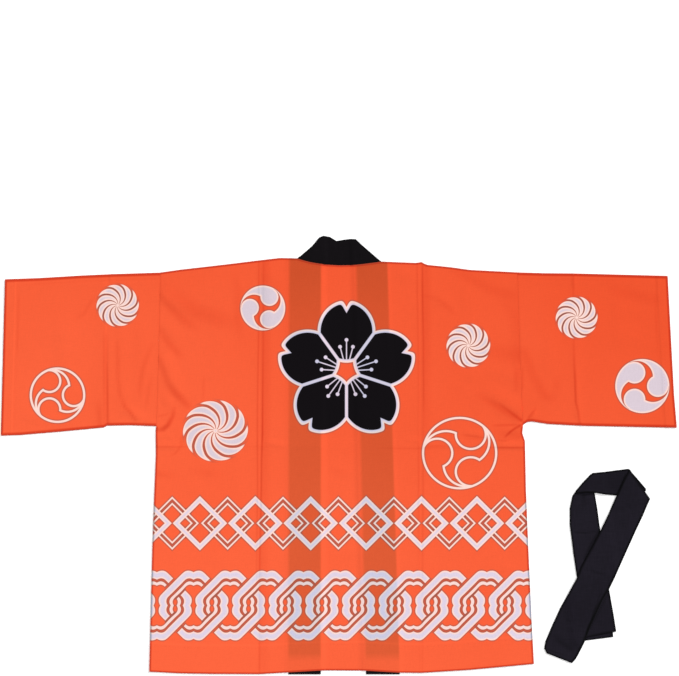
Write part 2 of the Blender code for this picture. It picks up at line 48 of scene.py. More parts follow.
CLOTH = 1.0
SEAM_GAP = 0.3
COLLAR_THICK = 1.6
BELT_THICK = 2.0
SINK_RUN = 9.0
SINK_MARGIN = 1.5
COLLAR_SINK_MARGIN = 5.5
HALF_SPAN = 632.0
HALF_HEIGHT = 409.5
BODY_LENGTH = 759.0
SHOULDER_END = 333.8
HEM_DEPTH = 56.0
HEM_RISE = 0.5
HEM_STEP = 4.0
CUFF_HEM_DEPTH = 22.0
CUFF_HEM_RISE = 0.4
CUFF_HEM_STEP = 3.0
FRONT_HEM_INSET = 2.5
SOFT_FOLD_SHARE = 0.3
SOFT_FOLD_FADE = 0.8
CROSS_CREASE_LEVEL = 0.5535
BELT_MARGIN = 13.0
BELT_SINK_RUN = 16.0


def strokes(head, size, text):
    """Rows between semicolons: this many numbers, then a list of points of this size."""
    rows = []
    for row in text.split(";"):
        values = [float(word) for word in row.split()]
        points = [tuple(values[i:i + size]) for i in range(head, len(values), size)]
        rows.append((*values[:head], points))
    return rows


def table(size, text):
    """Rows of this many numbers."""
    return strokes(0, size, text)[0][0]


# Outlines: x, y
LEFT_SIDE = table(2, """
-354.6 -404.7  -352.3 -307.8  -348.9 -176.9  -345.6 -83.4  -342.2 0.7  -342.6 45.6  -341.5 54.4
-339.6 103.6  -333.8 341.8
""")
RIGHT_SIDE = table(2, """
364.8 -390.1  360.5 -307.8  355.3 -195.6  349.9 -64.7  348 26.9  343.1 41  344.5 56.8  341.6 103.6
333.8 342.2
""")
SHOULDERS = table(2, """
-333.8 341.8  -297 347.1  -207.2 357.4  -147.4 364.8  -110 369.1  -78.2 368.4  -53.9 361.7
-25.8 357.2  2.2 355.5  30.3 356.4  54.6 359.2  78.9 362.4  144.4 359.8  154.6 361.5  163.1 356.4
207.9 351.9  245.3 346.7  333.8 342.2
""")
HEM = table(2, """
-354.6 -404.7  -297 -407.7  -239 -408.8  -147.4 -409.2  -95 -406  -33.3 -402.4  50.9 -402.8
114.4 -406.5  153.5 -406.9  243.5 -401.3  364.8 -390.1
""")
LEFT_CUFF = table(2, "-632 36.7  -627.9 197.1  -624.4 329.3")
RIGHT_CUFF = table(2, "632 51.4  626.8 112.9  621.2 215.8  614.9 335.7")
LEFT_SLEEVE_TOP = table(2, "-624.4 329.3  -558.8 331.7  -484 336.2  -427.9 338.8  -333.8 341.8")
RIGHT_SLEEVE_TOP = table(2, "333.8 342.2  385.6 340.7  438 340.3  614.9 335.7")
LEFT_UNDERARM = table(2, """
-632 36.7  -596.2 37.8  -521.4 44.1  -439.1 52  -433.5 55.4  -390.5 56.1  -341.5 54.4
""")
RIGHT_UNDERARM = table(2, "344.5 56.8  351.9 62.1  361.3 63.2  390.5 58.5  451 55.2  632 51.4")
LEFT_BAND_SEAM = table(2, "-94.6 -409.5  -92.2 369")
LEFT_BAND_FREE = table(2, "-33.7 -409.5  -33.3 408.5")
RIGHT_BAND_FREE = table(2, "50.9 -409.5  40.6 -46  31.2 403.5")
RIGHT_BAND_SEAM = table(2, "114.1 -409.5  102.5 -46  89.2 362")
LEFT_BAND_END = table(4, "-92.2 362 -33.3 371  -78.2 367.2 -34.6 404.8")
RIGHT_BAND_END = table(4, "32.2 372 89.4 357  31.8 403.3 79.5 362")

# The collar behind the neck: x, y of its neck seam, then of its top fold
COLLAR_BACK = table(4, """
-76.5 368.3 -75.5 370.4  -67 365.3 -65.8 376.2  -54.5 362 -53.8 386.9  -44 360 -45 397.2
-34 358.5 -36.9 407.5  -25 357.2 -29 410.6  -15 356.6 -16.6 408.6  -5.5 355.9 -4.3 401
7 355.7 8.5 403.2  20 356.1 20.5 404.8  31 356.6 31.5 404.3  42.5 357.8 41 395.5
55 359.3 53.8 382.6  66.5 360.8 66.2 371.2  76 362.1 76.8 364.3
""")

# Soft folds from the underarms: x, y where deepest, x, y where faded, half width, rise
SOFT_FOLDS = table(6, """
340 64 228 124 13 1.7  340 54 304 32 11 1.5  -323 290 -250 206 17 1.2  -323 145 -282 83 15 1.5
-308 84 -322 50 11 1.3  -350 60 -404 88 12 1.2  352 66 372 84 10 1
""")

# The belt's stretches: x, y of one edge, x, y of the other
BELT_UNDER = table(4, """
456.7 -342 518.9 -329.5  451 -298.5 513.6 -296.1  445.3 -229.4 500.6 -223.7
438.4 -182.8 495.9 -176.9  431.9 -130.5 488.3 -135.9  431.7 -99.7 483.6 -100.1
437 -75.3 478.7 -72.2  454.1 -53.2 476.8 -53.5  470.8 -35.3 475.8 -36
""")
BELT_UNDER_LOW_END = table(4, "456.7 -347.1 516.5 -339.4  451.5 -315 513.5 -312")
BELT_TOP = table(4, """
442.5 -66.7 445 -71  457.9 -48.5 462.3 -69.6  473.7 -33 478 -69.9  497.7 -30.7 499.6 -73.5
520.1 -27.8 522.1 -75.5  541.8 -25 544.5 -74.1  558 -43.3 561.4 -71.2  573.8 -61.8 574.6 -66.4
""")
BELT_OVER = table(4, """
543.5 -25.8 582 -81.5  530.5 -49.7 569.3 -112  518.9 -75.2 554.8 -142.7  504.9 -108 542.1 -170.9
489.6 -139.5 528.1 -202.2  471.6 -173.2 515.8 -228.8  452.9 -207.8 504.7 -251.6
445.2 -228.5 493.1 -270.4  429 -258.4 481 -296.6  413.8 -285.9 469.7 -321.8
399.4 -317.1 460.2 -347.4  386.5 -347.4 448.2 -372.5  384 -361 443 -381.5
388.8 -370.3 436.3 -388.8
""")

# ---- creases: width on the left and on the right of the way along them, height, the share
# faded at either end, then their points ----

# The two pressed folds, the fold across, the folds from the underarms, then broad waves
BACK_CREASES = strokes(5, 2, """
3.4 5 0.22 0.3 0.02 -151 -408 -150.6 362;
5 30 0.35 0.1 0.02 -141.6 -408 -141.2 362;
3.6 5.2 0.2 0.4 0.02 149.4 -405 149.2 358;
4.2 26 0.35 0.3 0.02 158.6 -405 158.2 358;
4 12 0.2 0.3 0.3 161.4 84 161.6 176;
15 9 0.8 0.05 0.5 -341 17.4 -288 17;
16 10 0.3 0.3 0.3 -288 17 -150 17.6 -96 17 60 16.6;
16 10 0.34 0.3 0.2 60 18 150 19 300 17.4;
13 9 1.25 0.4 0.02 286 17.8 347 17.2;
7 5 0.34 0.4 0.4 300 29.6 322 29;
11 7 0.5 0.2 0.4 -141 26 -118 21 -91 18.2;
11 7 0.5 0.4 0.2 118 28.4 152 29;
12 7 0.66 0.3 0.4 230 42.6 252 40.8 276 36.8;
26 14 1.4 0.45 0.04 258 128 288 112 314 98 343 80;
8 9 0.9 0.5 0.05 306 37 322 46 342 58;
34 20 0.8 0.5 0.2 262 168 300 154 343 142;
24 12 0.62 0.4 0.5 168 300 190 288 222 272;
26 13 0.95 0.05 0.5 -334 306 -311 287 -262 258;
22 11 0.75 0.1 0.5 -331 243 -311 228 -290 206;
24 14 1.3 0.1 0.5 -334 190 -314 150 -300 124 -276 96;
14 14 0.9 0.3 0.5 -334 100 -322 104 -308 88;
10 9 0.75 0.1 0.4 -342 50 -322 58 -306 74;
10 7 0.55 0.1 0.5 -344 33 -322 36 -300 31;
22 14 0.55 0.5 0.5 -22 -28 12 -35 48 -33;
20 14 0.5 0.5 0.5 -4 -178 23 -184 66 -181;
22 16 0.5 0.5 0.5 -256 -192 -214 -199 -172 -195;
34 22 0.6 0.5 0.5 196 170 252 153 303 149;
26 18 0.55 0.5 0.5 -300 -56 -262 -70 -218 -67;
24 16 0.55 0.5 0.4 262 -218 301 -210 342 -215;
22 14 0.6 0.4 0.5 90 347 132 333 182 327;
22 14 0.6 0.4 0.5 -150 347 -118 330 -98 300;
18 30 0.5 0.4 0.5 -306 -330 -302 -240 -309 -150;
20 34 0.55 0.5 0.5 262 -60 266 60 259 150;
20 34 0.55 0.5 0.4 -232 120 -226 220 -233 330;
18 30 0.5 0.5 0.4 236 230 241 290 236 345;
16 26 0.4 0.4 0.5 20 -330 24 -240 18 -160;
16 28 0.45 0.5 0.5 -196 -120 -190 -40 -196 30
""")
LEFT_SLEEVE_CREASES = strokes(5, 2, """
20 6 0.4 0.05 0.05 -441 54 -438.6 200 -439 336;
4.6 18 0.45 0.05 0.3 -430 57 -429 150 -429.4 245;
14 22 0.45 0.2 0.2 -409 60 -406 180 -407 330;
4 8 0.5 0.5 0.02 -426.4 318 -426.6 338;
18 10 0.9 0.5 0.1 -410 94 -389 80 -368 62;
9 7 0.3 0.1 0.1 -622 315 -470 320 -340 323;
34 22 0.65 0.5 0.5 -572 216 -520 228 -470 225;
22 13 0.6 0.3 0.5 -604 80 -560 66 -500 62;
22 34 0.55 0.4 0.4 -520 90 -514 190 -521 300;
16 22 0.45 0.4 0.4 -372 120 -368 200 -374 290
""")
RIGHT_SLEEVE_CREASES = strokes(5, 2, """
12 18 0.42 0.03 0.03 451 54 447.4 87 443.4 148 442 197 441.4 338;
4.8 7 0.4 0.03 0.4 451 54 447.4 87 443.4 148 442.2 190;
4 9 0.55 0.5 0.02 438.2 309 438 338;
9 8 0.8 0.5 0.1 369 86 358 70;
9 7 0.3 0.1 0.1 340 323 470 324.5 612 322;
34 22 0.6 0.5 0.5 492 204 540 219 592 217;
18 26 0.55 0.5 0.5 396 124 391 180 397 250;
22 13 0.55 0.4 0.4 515 86 560 77 608 80;
22 30 0.5 0.4 0.4 520 190 526 250 519 320
""")
# On the faces that lie down, creases lift the cloth
FRONT_CREASES = strokes(5, 2, """
3.4 3.4 0.38 0.01 0.01 -148.5 362 -148 -406;
3.4 3.4 0.38 0.01 0.01 154.8 358 155.2 -404;
3.6 3.6 0.38 0.02 0.05 -342 17 -220 18 -96 16.5;
3.6 3.6 0.38 0.05 0.02 103 17 230 19 347 18;
9 9 0.38 0.05 0.6 -336 58 -306 92 -262 118;
9 9 0.38 0.05 0.6 338 60 300 96 258 116;
9 9 0.34 0.1 0.6 -330 252 -300 226 -283 196;
9 9 0.34 0.1 0.6 330 262 304 232 286 206;
12 12 0.3 0.5 0.5 -290 -160 -240 -173 -190 -166;
12 12 0.3 0.5 0.5 210 -140 252 -150 310 -146
""")
LOW_SLEEVE_CREASES = strokes(5, 2, """
3.4 3.4 0.38 0.02 0.02 -434 336 -434.4 55;
3.4 3.4 0.38 0.02 0.02 441 336 446 57;
9 9 0.36 0.1 0.6 -352 66 -384 92 -420 104;
9 9 0.36 0.1 0.6 354 70 384 96 414 108;
12 12 0.3 0.5 0.5 -600 180 -560 196 -512 192;
12 12 0.3 0.5 0.5 512 172 556 186 596 181
""")
COLLAR_CREASES = strokes(5, 2, """
5 7 -0.4 0.7 0.02 0.5 368 -3 388 -4.3 402;
6 9 0.4 0.4 0.1 -47 364 -42 388 -33 406;
9 6 0.4 0.4 0.1 47 362 41 385 31 402;
6 8 0.35 0.5 0.5 -24 396 -4 391 14 395
""")
BELT_CREASES = strokes(5, 2, """
5 4 -0.48 0.15 0.15 436 -144.6 460 -143.4 489 -141.5;
5 4 -0.48 0.1 0.1 450 -209 474 -217 505 -229;
6 5 -0.4 0.3 0.3 452 -320 480 -316 510 -318;
5 6 -0.4 0.3 0.4 520 -86 538 -94 558 -118;
5 5 -0.42 0.3 0.4 408 -298 436 -316 460 -336;
6 6 -0.4 0.3 0.3 474 -72 500 -64 528 -60;
5 6 -0.4 0.3 0.3 446 -96 450 -84 462 -76;
4 4 -0.46 0.2 0.2 402 -340 428 -350 444 -362;
5 5 -0.4 0.3 0.3 394 -352 398 -368 404 -374
""")

# ---- painted shade lines: half width on the left and on the right of the way along them, then x, y
# and depth of the shade ----

# Painted shade where one stretch of the belt lies on another: creases and a lower layer's edges
BELT_LINES = strokes(2, 3, """
3 2 535.5 -36 0.5 521.5 -75.5 0.6;
2.2 2.2 445.5 -73 0.8 479 -73.4 0.8;
7 7 458 -76 0.3 458.5 -92 0.2;
2.8 2.8 442.2 -144.4 0.4 462 -144.6 0.4 481.6 -142.5 0.25;
3.4 3.4 487 -141 0.7 472 -166 0.7 459 -193 0.4;
2.8 2.8 460 -213 0.2 476 -217 0.4 495.4 -223.6 0.3;
9 9 402.3 -338.6 0.1 416 -350 0.35 433.4 -361.2 0.35;
2.4 2.4 492.4 -248.7 0.2 477 -292 0.6 462.8 -333.4 0.5;
2.2 2.2 503.3 -258.5 0.5 484 -296 0.6 468.7 -325.6 0.4;
1.6 1.6 390 -362.5 0.35 434 -380 0.4
""")
# Painted shade over the belt's turn
TURN_SHADE = strokes(2, 3, """
60 60 455 -52 0.2 560 -50 0.2
""")
# Painted shade along creases in the cloth
BACK_LINES = strokes(2, 3, """
3 3 -149.5 368 0.12 -149.6 300 0.22 -150 220 0.2 -152 100 0.17 -152.2 30 0.18 -151.8 -60 0.16
-153.4 -190 0.07 -153.6 -300 0;
3 3 -140.6 366 0.08 -141 300 0.16 -141.4 200 0.16 -142.4 110 0.24 -142.7 40 0.34 -144.4 -8 0.22
-145.2 -70 0.22 -147.9 -190 0.25 -148.2 -300 0.16 -148.4 -408 0.13;
15 15 -137 366 0.1 -137 120 0.11 -139 -10 0.08 -141 -190 0.06 -141 -408 0.05;
3 3 146.4 360 0.1 146.8 300 0.12 148.8 200 0.09 149.2 100 0.06 149 60 0.02 149.4 -10 0.12 149.4 -68
0.11 150.4 -200 0.05 151.6 -404 0.03;
3 3 156.4 360 0.16 156.6 300 0.24 158.2 210 0.18 158.6 110 0.15 158.4 60 0.05 157.8 -10 0.12 157.8
-68 0.12 157 -200 0.06 156.4 -404 0.05;
15 15 163 362 0.1 163 230 0.1 163 110 0.07 163 -60 0;
3 3 -342 16 0.14 -300 16 0.13 -270 16.4 0.03 -150 16.6 0.04 -96 16 0;
3 3 60 15 0 110 13 0.08 150 13 0.08 200 14 0.02 280 14.8 0.04 300 14.6 0.26 346 14.6 0.24;
11.2 11.2 -334.4 234.5 0.08 -319.4 212.1 0.13 -302.6 193.4 0.12 -289.5 178.4 0;
12.2 10.3 -336.2 182.1 0.1 -328.7 159.7 0.12 -319.4 133.5 0.13 -308.2 118.6 0.21 -295.1 105.5 0.21
-282 92.4 0.13;
7.5 7.5 -307.2 88.6 0.08 -311 71.8 0.23 -319.4 56.8 0.31 -327.8 49.4 0.29 -337.2 47.5 0.15;
3.4 3.4 -336.2 73.7 0.1 -323.1 75.5 0.1 -317.5 81.2 0;
3.7 3.7 -293.2 36.3 0.06 -296 17.6 0.1 -304.4 4.5 0.12 -319.4 -3 0;
13.1 13.1 -334.4 298.1 0.08 -311.9 273.8 0.13 -285.7 249.5 0.13 -255.8 230.8 0;
26.2 26.2 -334.4 320.5 0.04 -267 268.2 0.12 -218.4 253.2 0.08 -177.3 242 0;
3.7 3.7 -252.1 152.2 0 -252.1 141 0.08 -252.1 111.1 0.08 -253.9 99.9 0;
11.2 11.2 252.8 120.4 0 271.5 106.4 0.08 290.2 96.1 0.15 308.9 84 0.17 325.8 74.6 0.17 340.7 66.6
0.13;
4.5 4.5 294 100.8 0 308.9 90.4 0.14 325.8 77.2 0.2 340.7 65.9 0.24;
3.7 3.7 282.7 56.3 0 295.8 56.3 0.17 323.9 56.8 0.19 338.8 57.2 0.08;
3.6 3.6 343.6 57.9 0.26 330.6 51.4 0.36 320.2 43.8 0.38 311.8 35.4 0.2 308 31.6 0;
3 3 292.1 28.8 0 301.4 27.9 0.12 316.4 27.9 0.1 323.9 31.6 0;
9.4 9.4 331.4 170.9 0 332.3 152.2 0.12 332.3 129.8 0.1 331.4 111.1 0;
3 3 228.5 39.1 0 237.9 37.2 0.15 264 34.4 0.15 279 32.5 0;
3 3 232.3 31.6 0 245.3 31 0.08 275.3 29.7 0.06 282.7 28.8 0;
3.7 3.7 163.1 17.6 0.06 181.8 17.6 0.1 207.9 17.6 0.06 219.2 17.6 0;
5.6 5.6 159.3 298.1 0.04 185.5 292.5 0.08 207.9 273.8 0.1 221 258.8 0;
26.2 26.2 245.3 206.4 0 292.1 193.4 0.06 337 185.9 0.1;
26.2 26.2 301.4 309.3 0 335.1 253.2 0.08 337 197.1 0.06 333.2 141 0;
15 15 335.1 36.3 0.1 301.4 41.9 0.06 275.3 43.8 0;
16.8 16.8 189.2 361.7 0 237.9 335.5 0.08 286.5 309.3 0.08 333.2 298.1 0.06;
13.1 13.1 -199.7 350.4 0 -188.5 309.3 0.06 -188.5 249.5 0.06 -181 206.4 0;
11.2 11.2 -23.9 -23.6 0 2.2 -31 0.04 32.2 -32.9 0;
13.1 13.1 -285.7 -27.3 0 -248.3 -32.9 0.06 -203.5 -38.5 0;
11.2 11.2 -338.1 -34.8 0.1 -319.4 -36.7 0.06 -297 -42.3 0
""")
LEFT_SLEEVE_LINES = strokes(2, 3, """
11.2 3 -440 242 0 -439.8 215.8 0.08 -439.8 169 0.12 -439.5 107.3 0.1 -438.1 58.7 0.08;
3.4 3.4 -433.5 225.1 0.04 -433.5 178.4 0.06 -433.1 156 0.15 -432.3 112.9 0.21 -432 58.7 0.17;
6.5 6.5 -414.8 219.5 0 -413.8 197.1 0.1 -412.9 144.7 0.1 -409.2 112.9 0.1 -399.8 92.4 0.08;
4.9 4.9 -407.3 103.6 0 -399.8 90.5 0.15 -390.5 81.2 0.21 -381.1 68.1 0.15 -377.4 62.5 0;
9.4 9.4 -450.3 107.3 0 -448.4 84.9 0.1 -446.6 58.7 0.1;
7.5 7.5 -343.7 215.8 0 -356.8 189.6 0.08 -367.1 159.7 0.1 -371.8 126 0.1 -371.8 99.9 0;
6.5 6.5 -349.3 156 0 -354.9 129.8 0.08 -358.7 99.9 0.08 -360.5 81.2 0;
3 4.1 -599.9 318.6 0.04 -599.9 290.6 0.1 -600.8 206.4 0.1 -603.6 178.4 0.04 -607.4 47.5 0.04;
3 3 -614.9 319.6 0 -558.8 320.5 0.06 -446.6 326.1 0.06 -343.7 330.8 0.04;
5.6 5.6 -461.5 290.6 0.08 -476.5 264.4 0.08 -498.9 253.2 0
""")
RIGHT_SLEEVE_LINES = strokes(2, 3, """
3.7 3.7 438.5 341.1 0.12 438.5 309.3 0.12 438.5 290.6 0.04;
4.5 3.7 438.9 225.1 0.06 439.4 193.4 0.12 440.2 167.2 0.17 441.7 141 0.25 442.8 99.9 0.23 447.3 83
0.19 451 55 0.15;
3.7 3.7 367.8 88.6 0.06 363.2 80.2 0.23 356.6 71.8 0.25 352.9 66.2 0.08;
2.8 2.8 345.4 174.7 0 343.5 159.7 0.1 343.5 129.8 0.12 342.6 114.8 0;
15 15 346.3 193.4 0.08 365 144.7 0.08 385.6 111.1 0.1 413.6 99.9 0;
4.7 3 593.2 331.7 0.04 593.2 299.9 0.1 594.1 242 0.08 596.9 206.4 0.04 608.1 58.7 0.04;
3 3 342.6 330.6 0.04 413.6 330.2 0.06 525.8 328.7 0.06 600.6 326.1 0;
18.7 18.7 488.4 328 0 525.8 305.6 0.06 563.2 298.1 0.08 591.3 290.6 0.06;
11.2 11.2 409.9 156 0 406.2 129.8 0.06 406.2 107.3 0
""")
FRONT_LINES = strokes(2, 3, """
3 3 -148.4 362 0.14 -148 0 0.16 -148 -406 0.12;
3 3 154.8 358 0.14 155 0 0.16 155.2 -404 0.12;
3 3 -342 17 0.14 -220 17.6 0.12 -96 16.4 0.06;
3 3 103 17 0.06 230 18.6 0.12 347 17.6 0.14;
9 9 -336 58 0.2 -306 92 0.16 -262 118 0;
9 9 338 60 0.2 300 96 0.16 258 116 0;
10 10 -330 252 0.12 -300 226 0.12 -283 196 0;
10 10 330 262 0.12 304 232 0.12 286 206 0;
14 14 -290 -160 0 -240 -173 0.08 -190 -166 0;
14 14 210 -140 0 252 -150 0.08 310 -146 0
""")
LOW_SLEEVE_LINES = strokes(2, 3, """
3 3 -434 336 0.1 -434.2 200 0.14 -434.4 55 0.16;
3 3 441 336 0.1 443 200 0.14 446 57 0.16;
9 9 -352 66 0.2 -384 92 0.16 -420 104 0;
9 9 354 70 0.2 384 96 0.16 414 108 0;
12 12 -600 180 0 -560 196 0.08 -512 192 0;
12 12 512 172 0 556 186 0.08 596 181 0
""")


# ---- reading the tables, on arrays of points ----

CREST_ROUNDING = 0.8
UNEVENNESS = 0.3
SHORT_WAVE = 37
LONG_WAVE = 83
WAVE_TURN = 1.7  # from one crease to the next
WAVE_DEPTH = 0.25
# Painted shade at folded and sewn edges: its depth, then where it is full and its run
EDGE_SHADE_DEPTH = 0.84
EDGE_SHADE_FULL = 1.6
EDGE_SHADE_RUN = 2.6
MOST_LIFT = 0.4
FAR = 1e9


def mix(low, high, share):
    return low + (high - low) * share


def smooth(share):
    share = np.clip(share, 0.0, 1.0)
    return share * share * (3 - 2 * share)


def along(table, value, given):
    """A table's other column where its given column has these values."""
    rows = sorted(table, key=lambda row: row[given])
    return np.interp(value, [row[given] for row in rows], [row[1 - given] for row in rows])


def x_at(table, y):
    return along(table, y, 1)


def y_at(table, x):
    return along(table, x, 0)


def run_length(start, end):
    return np.hypot(end[0] - start[0], end[1] - start[1])


def nearest(x, y, start, end):
    """Distances to a segment, the shares of its length where they are least, and which lie left."""
    run_x, run_y = end[0] - start[0], end[1] - start[1]
    from_x, from_y = x - start[0], y - start[1]
    share = np.clip((from_x * run_x + from_y * run_y) / (run_x**2 + run_y**2), 0.0, 1.0)
    away = np.hypot(from_x - run_x * share, from_y - run_y * share)
    return away, share, run_x * from_y > run_y * from_x


def outline_distance(x, y, outline):
    """Distances to an outline, and whether each point lies within it."""
    least, within = np.full(np.shape(x), FAR), np.zeros(np.shape(x), bool)
    for start, end in zip(outline, outline[1:] + outline[:1]):
        if start[1] != end[1]:
            crosses = (start[1] > y) != (end[1] > y)
            within ^= crosses & (x < mix(start[0], end[0], (y - start[1]) / (end[1] - start[1])))
        if start != end:
            least = np.minimum(least, nearest(x, y, start, end)[0])
    return least, within


def lying_on(layers, margin, run):
    """The height at which cloth lies over lower layers, each an outline and its top."""

    def height(x, y):
        result = np.zeros(np.shape(x))
        for outline, top in layers:
            least, within = outline_distance(x, y, outline)
            away = np.where(within, 0.0, least) - margin
            result = np.maximum(result, (top + SEAM_GAP) * smooth(1 - away / run))
        return result

    return height


def soft_folds(x, y):
    rise = np.zeros(np.shape(x))
    for x0, y0, x1, y1, half_width, top in SOFT_FOLDS:
        away, share, _ = nearest(x, y, (x0, y0), (x1, y1))
        hump = np.maximum(0.0, 1 - (away / half_width) ** 2)
        rise += top * hump**2 * (1 - SOFT_FOLD_FADE * share)
    return SOFT_FOLD_SHARE * rise


def creased(x, y, creases):
    """The rise of the given creases, each uneven along its length."""
    rise = np.zeros(np.shape(x))
    for number, (left, right, height, fade_in, fade_out, points) in enumerate(creases):
        runs = [run_length(a, b) for a, b in zip(points, points[1:])]
        total, done = sum(runs), 0.0
        least, place, width = (np.full(np.shape(x), value) for value in (FAR, 0.0, left))
        for start, end, run in zip(points, points[1:], runs):
            away, share, on_left = nearest(x, y, start, end)
            here = away < least
            least = np.where(here, away, least)
            width = np.where(here, np.where(on_left, left, right), width)
            place = np.where(here, (done + share * run) / total, place)
            done += run
        wave = sin(number * WAVE_TURN) + np.sin(place * total / SHORT_WAVE + number)
        wave *= WAVE_DEPTH * np.sin(place * total / LONG_WAVE + 2 * number)
        uneven = 1 - UNEVENNESS * (0.5 + wave)
        ends = smooth(place / fade_in) * smooth((1 - place) / fade_out)
        crest = np.sqrt(least**2 + CREST_ROUNDING**2) - CREST_ROUNDING
        rise += height * smooth(1 - crest / width) * uneven * ends
    return rise


def lifted(x, y, creases):
    """The rise of cloth that lies on the surface."""
    return np.clip(creased(x, y, creases), 0.0, MOST_LIFT)


def painted_crease_shade(x, y, lines):
    """How dark the painted shade along creases makes the cloth."""
    depth = np.zeros(np.shape(x))
    for left, right, points in lines:
        deepest = 0.0
        for start, end in zip(points, points[1:]):
            away, share, on_left = nearest(x, y, start, end)
            spread = smooth(1 - away / np.where(on_left, left, right))
            deepest = np.maximum(deepest, mix(start[2], end[2], share) * spread)
        depth += deepest
    return depth


def edge_shade(away):
    """How dark the painted shade at a folded or sewn edge is, from the distance to it."""
    return EDGE_SHADE_DEPTH * smooth(EDGE_SHADE_FULL - away / EDGE_SHADE_RUN)


def between(table, first, last):
    """The table's rows from one x to another, in that order."""
    rows = [row for row in table if min(first, last) <= row[0] <= max(first, last)]
    return rows if first < last else rows[::-1]


def front_outline(side, seam):
    return [*side, *between(SHOULDERS, side[-1][0], seam[-1][0]), *seam[::-1],
            *between(HEM, seam[0][0], side[0][0])]


def stations_outline(stations):
    return [row[:2] for row in stations] + [row[2:] for row in reversed(stations)]


def filled(marks, step, length=lambda low, high: high - low, part_way=mix):
    """The marks with evenly spaced ones added between them."""
    values = [marks[0]]
    for low, high in zip(marks, marks[1:]):
        count = max(1, round(float(length(low, high)) / step))
        values += [part_way(low, high, i / count) for i in range(1, count + 1)]
    return values


# ---- shells of cloth ----

EDGE_DROP = 0.16  # how far a sewn edge sinks
EDGE_DROP_RUN = 1.8
UV_INDEX_SHARE = 0.15  # of a row's place in the unwrapped cloth that comes from its number
EVEN_SHARE = 0.5  # the same where rows are few
TAPE_SHARE = 0.3
SHARP_ANGLE = 0.9  # radians
FOLD_STEPS = 5
WHOLE_RIM = (0.0, 0.0, 1.0, 0.026)
RIM_STRIP = (0.02, 0.22)
# The mesh attribute that holds the painted shade of creases, edges and seams
SHADE_ATTRIBUTE = "painted_shade"


def unwrapped(points, rect, by_number):
    """Flat places in rect for a grid of points: by their distances, in part by their numbers."""
    sides = []
    for axis in (0, 1):
        lengths = np.linalg.norm(np.diff(points, axis=axis), axis=2).mean(axis=1 - axis)
        run = np.concatenate([[0.0], np.cumsum(lengths)])
        shares = mix(run / run[-1], np.linspace(0.0, 1.0, len(run)), by_number)
        sides.append(mix(rect[axis], rect[axis + 2], shares))
    return np.stack(np.meshgrid(*sides, indexing="ij"), axis=2)


def shell(outer, inner, around, patches, rim_rect=WHOLE_RIM):
    """A closed sheet between matching grids of outer and inner points.

    patches holds, for the outer and then the inner side, (first row, last row, rectangle of the
    unwrapped cloth, share by number). The result is points, faces, flat places, and for each face
    its side (0 outer, 1 inner, 2 rim) and row.
    """
    if around:
        wrapped = [np.concatenate([grid, grid[:, :1]], axis=1) for grid in (outer, inner)]
    else:
        wrapped = [outer, inner]
    count = outer.shape[0] * outer.shape[1]
    near = np.arange(count).reshape(outer.shape[:2])
    near = np.concatenate([near, near[:, :1]], axis=1) if around else near
    far = near + count
    made = [], [], [], []

    def add(ids, flat, side, row, turned_round):
        kinds = []
        for grid in (ids, flat):
            corners = [grid[:-1, :-1], grid[1:, :-1], grid[1:, 1:], grid[:-1, 1:]]
            kinds.append(corners[::-1] if turned_round else corners)
        shape = kinds[0][0].shape
        made[0].append(np.stack([c.ravel() for c in kinds[0]], axis=1))
        made[1].append(np.stack([c.reshape(-1, 2) for c in kinds[1]], axis=1))
        made[2].append(np.full(shape, side).ravel())
        made[3].append(np.broadcast_to(row, shape).ravel())

    for side, (ids, grid) in enumerate(zip((near, far), wrapped)):
        for first, last, rect, by_number in patches[side]:
            part = slice(first, last + 1)
            flat = unwrapped(grid[:, part], rect, by_number)
            add(ids[:, part], flat, side, np.arange(first, last)[None, :], side == 1)

    rims = [(near[0], far[0], False), (near[-1], far[-1], True)]
    if not around:
        rims += [(near[:, 0], far[:, 0], True), (near[:, -1], far[:, -1], False)]
    for strip, (first, second, turned_round) in enumerate(rims):
        u = np.linspace(rim_rect[0], rim_rect[2], len(first))
        v = [mix(rim_rect[1], rim_rect[3], strip / 4 + end) for end in RIM_STRIP]
        flat = np.stack(np.meshgrid(u, v, indexing="ij"), axis=2)
        add(np.stack([first, second], axis=1), flat, 2, 0, turned_round)
    points = np.concatenate([outer.reshape(-1, 3), inner.reshape(-1, 3)])
    faces, places, sides, rows = (np.concatenate(part) for part in made)
    a, b, c, d = np.moveaxis(points[faces], 1, 0)
    if (a * (np.cross(b, c) + np.cross(c, d))).sum() < 0:
        faces, places = faces[:, ::-1], places[:, ::-1]
    return points, faces, places, sides, rows


def added(name, data):
    made = bpy.data.objects.new(name, data)
    bpy.context.scene.collection.objects.link(made)
    return made


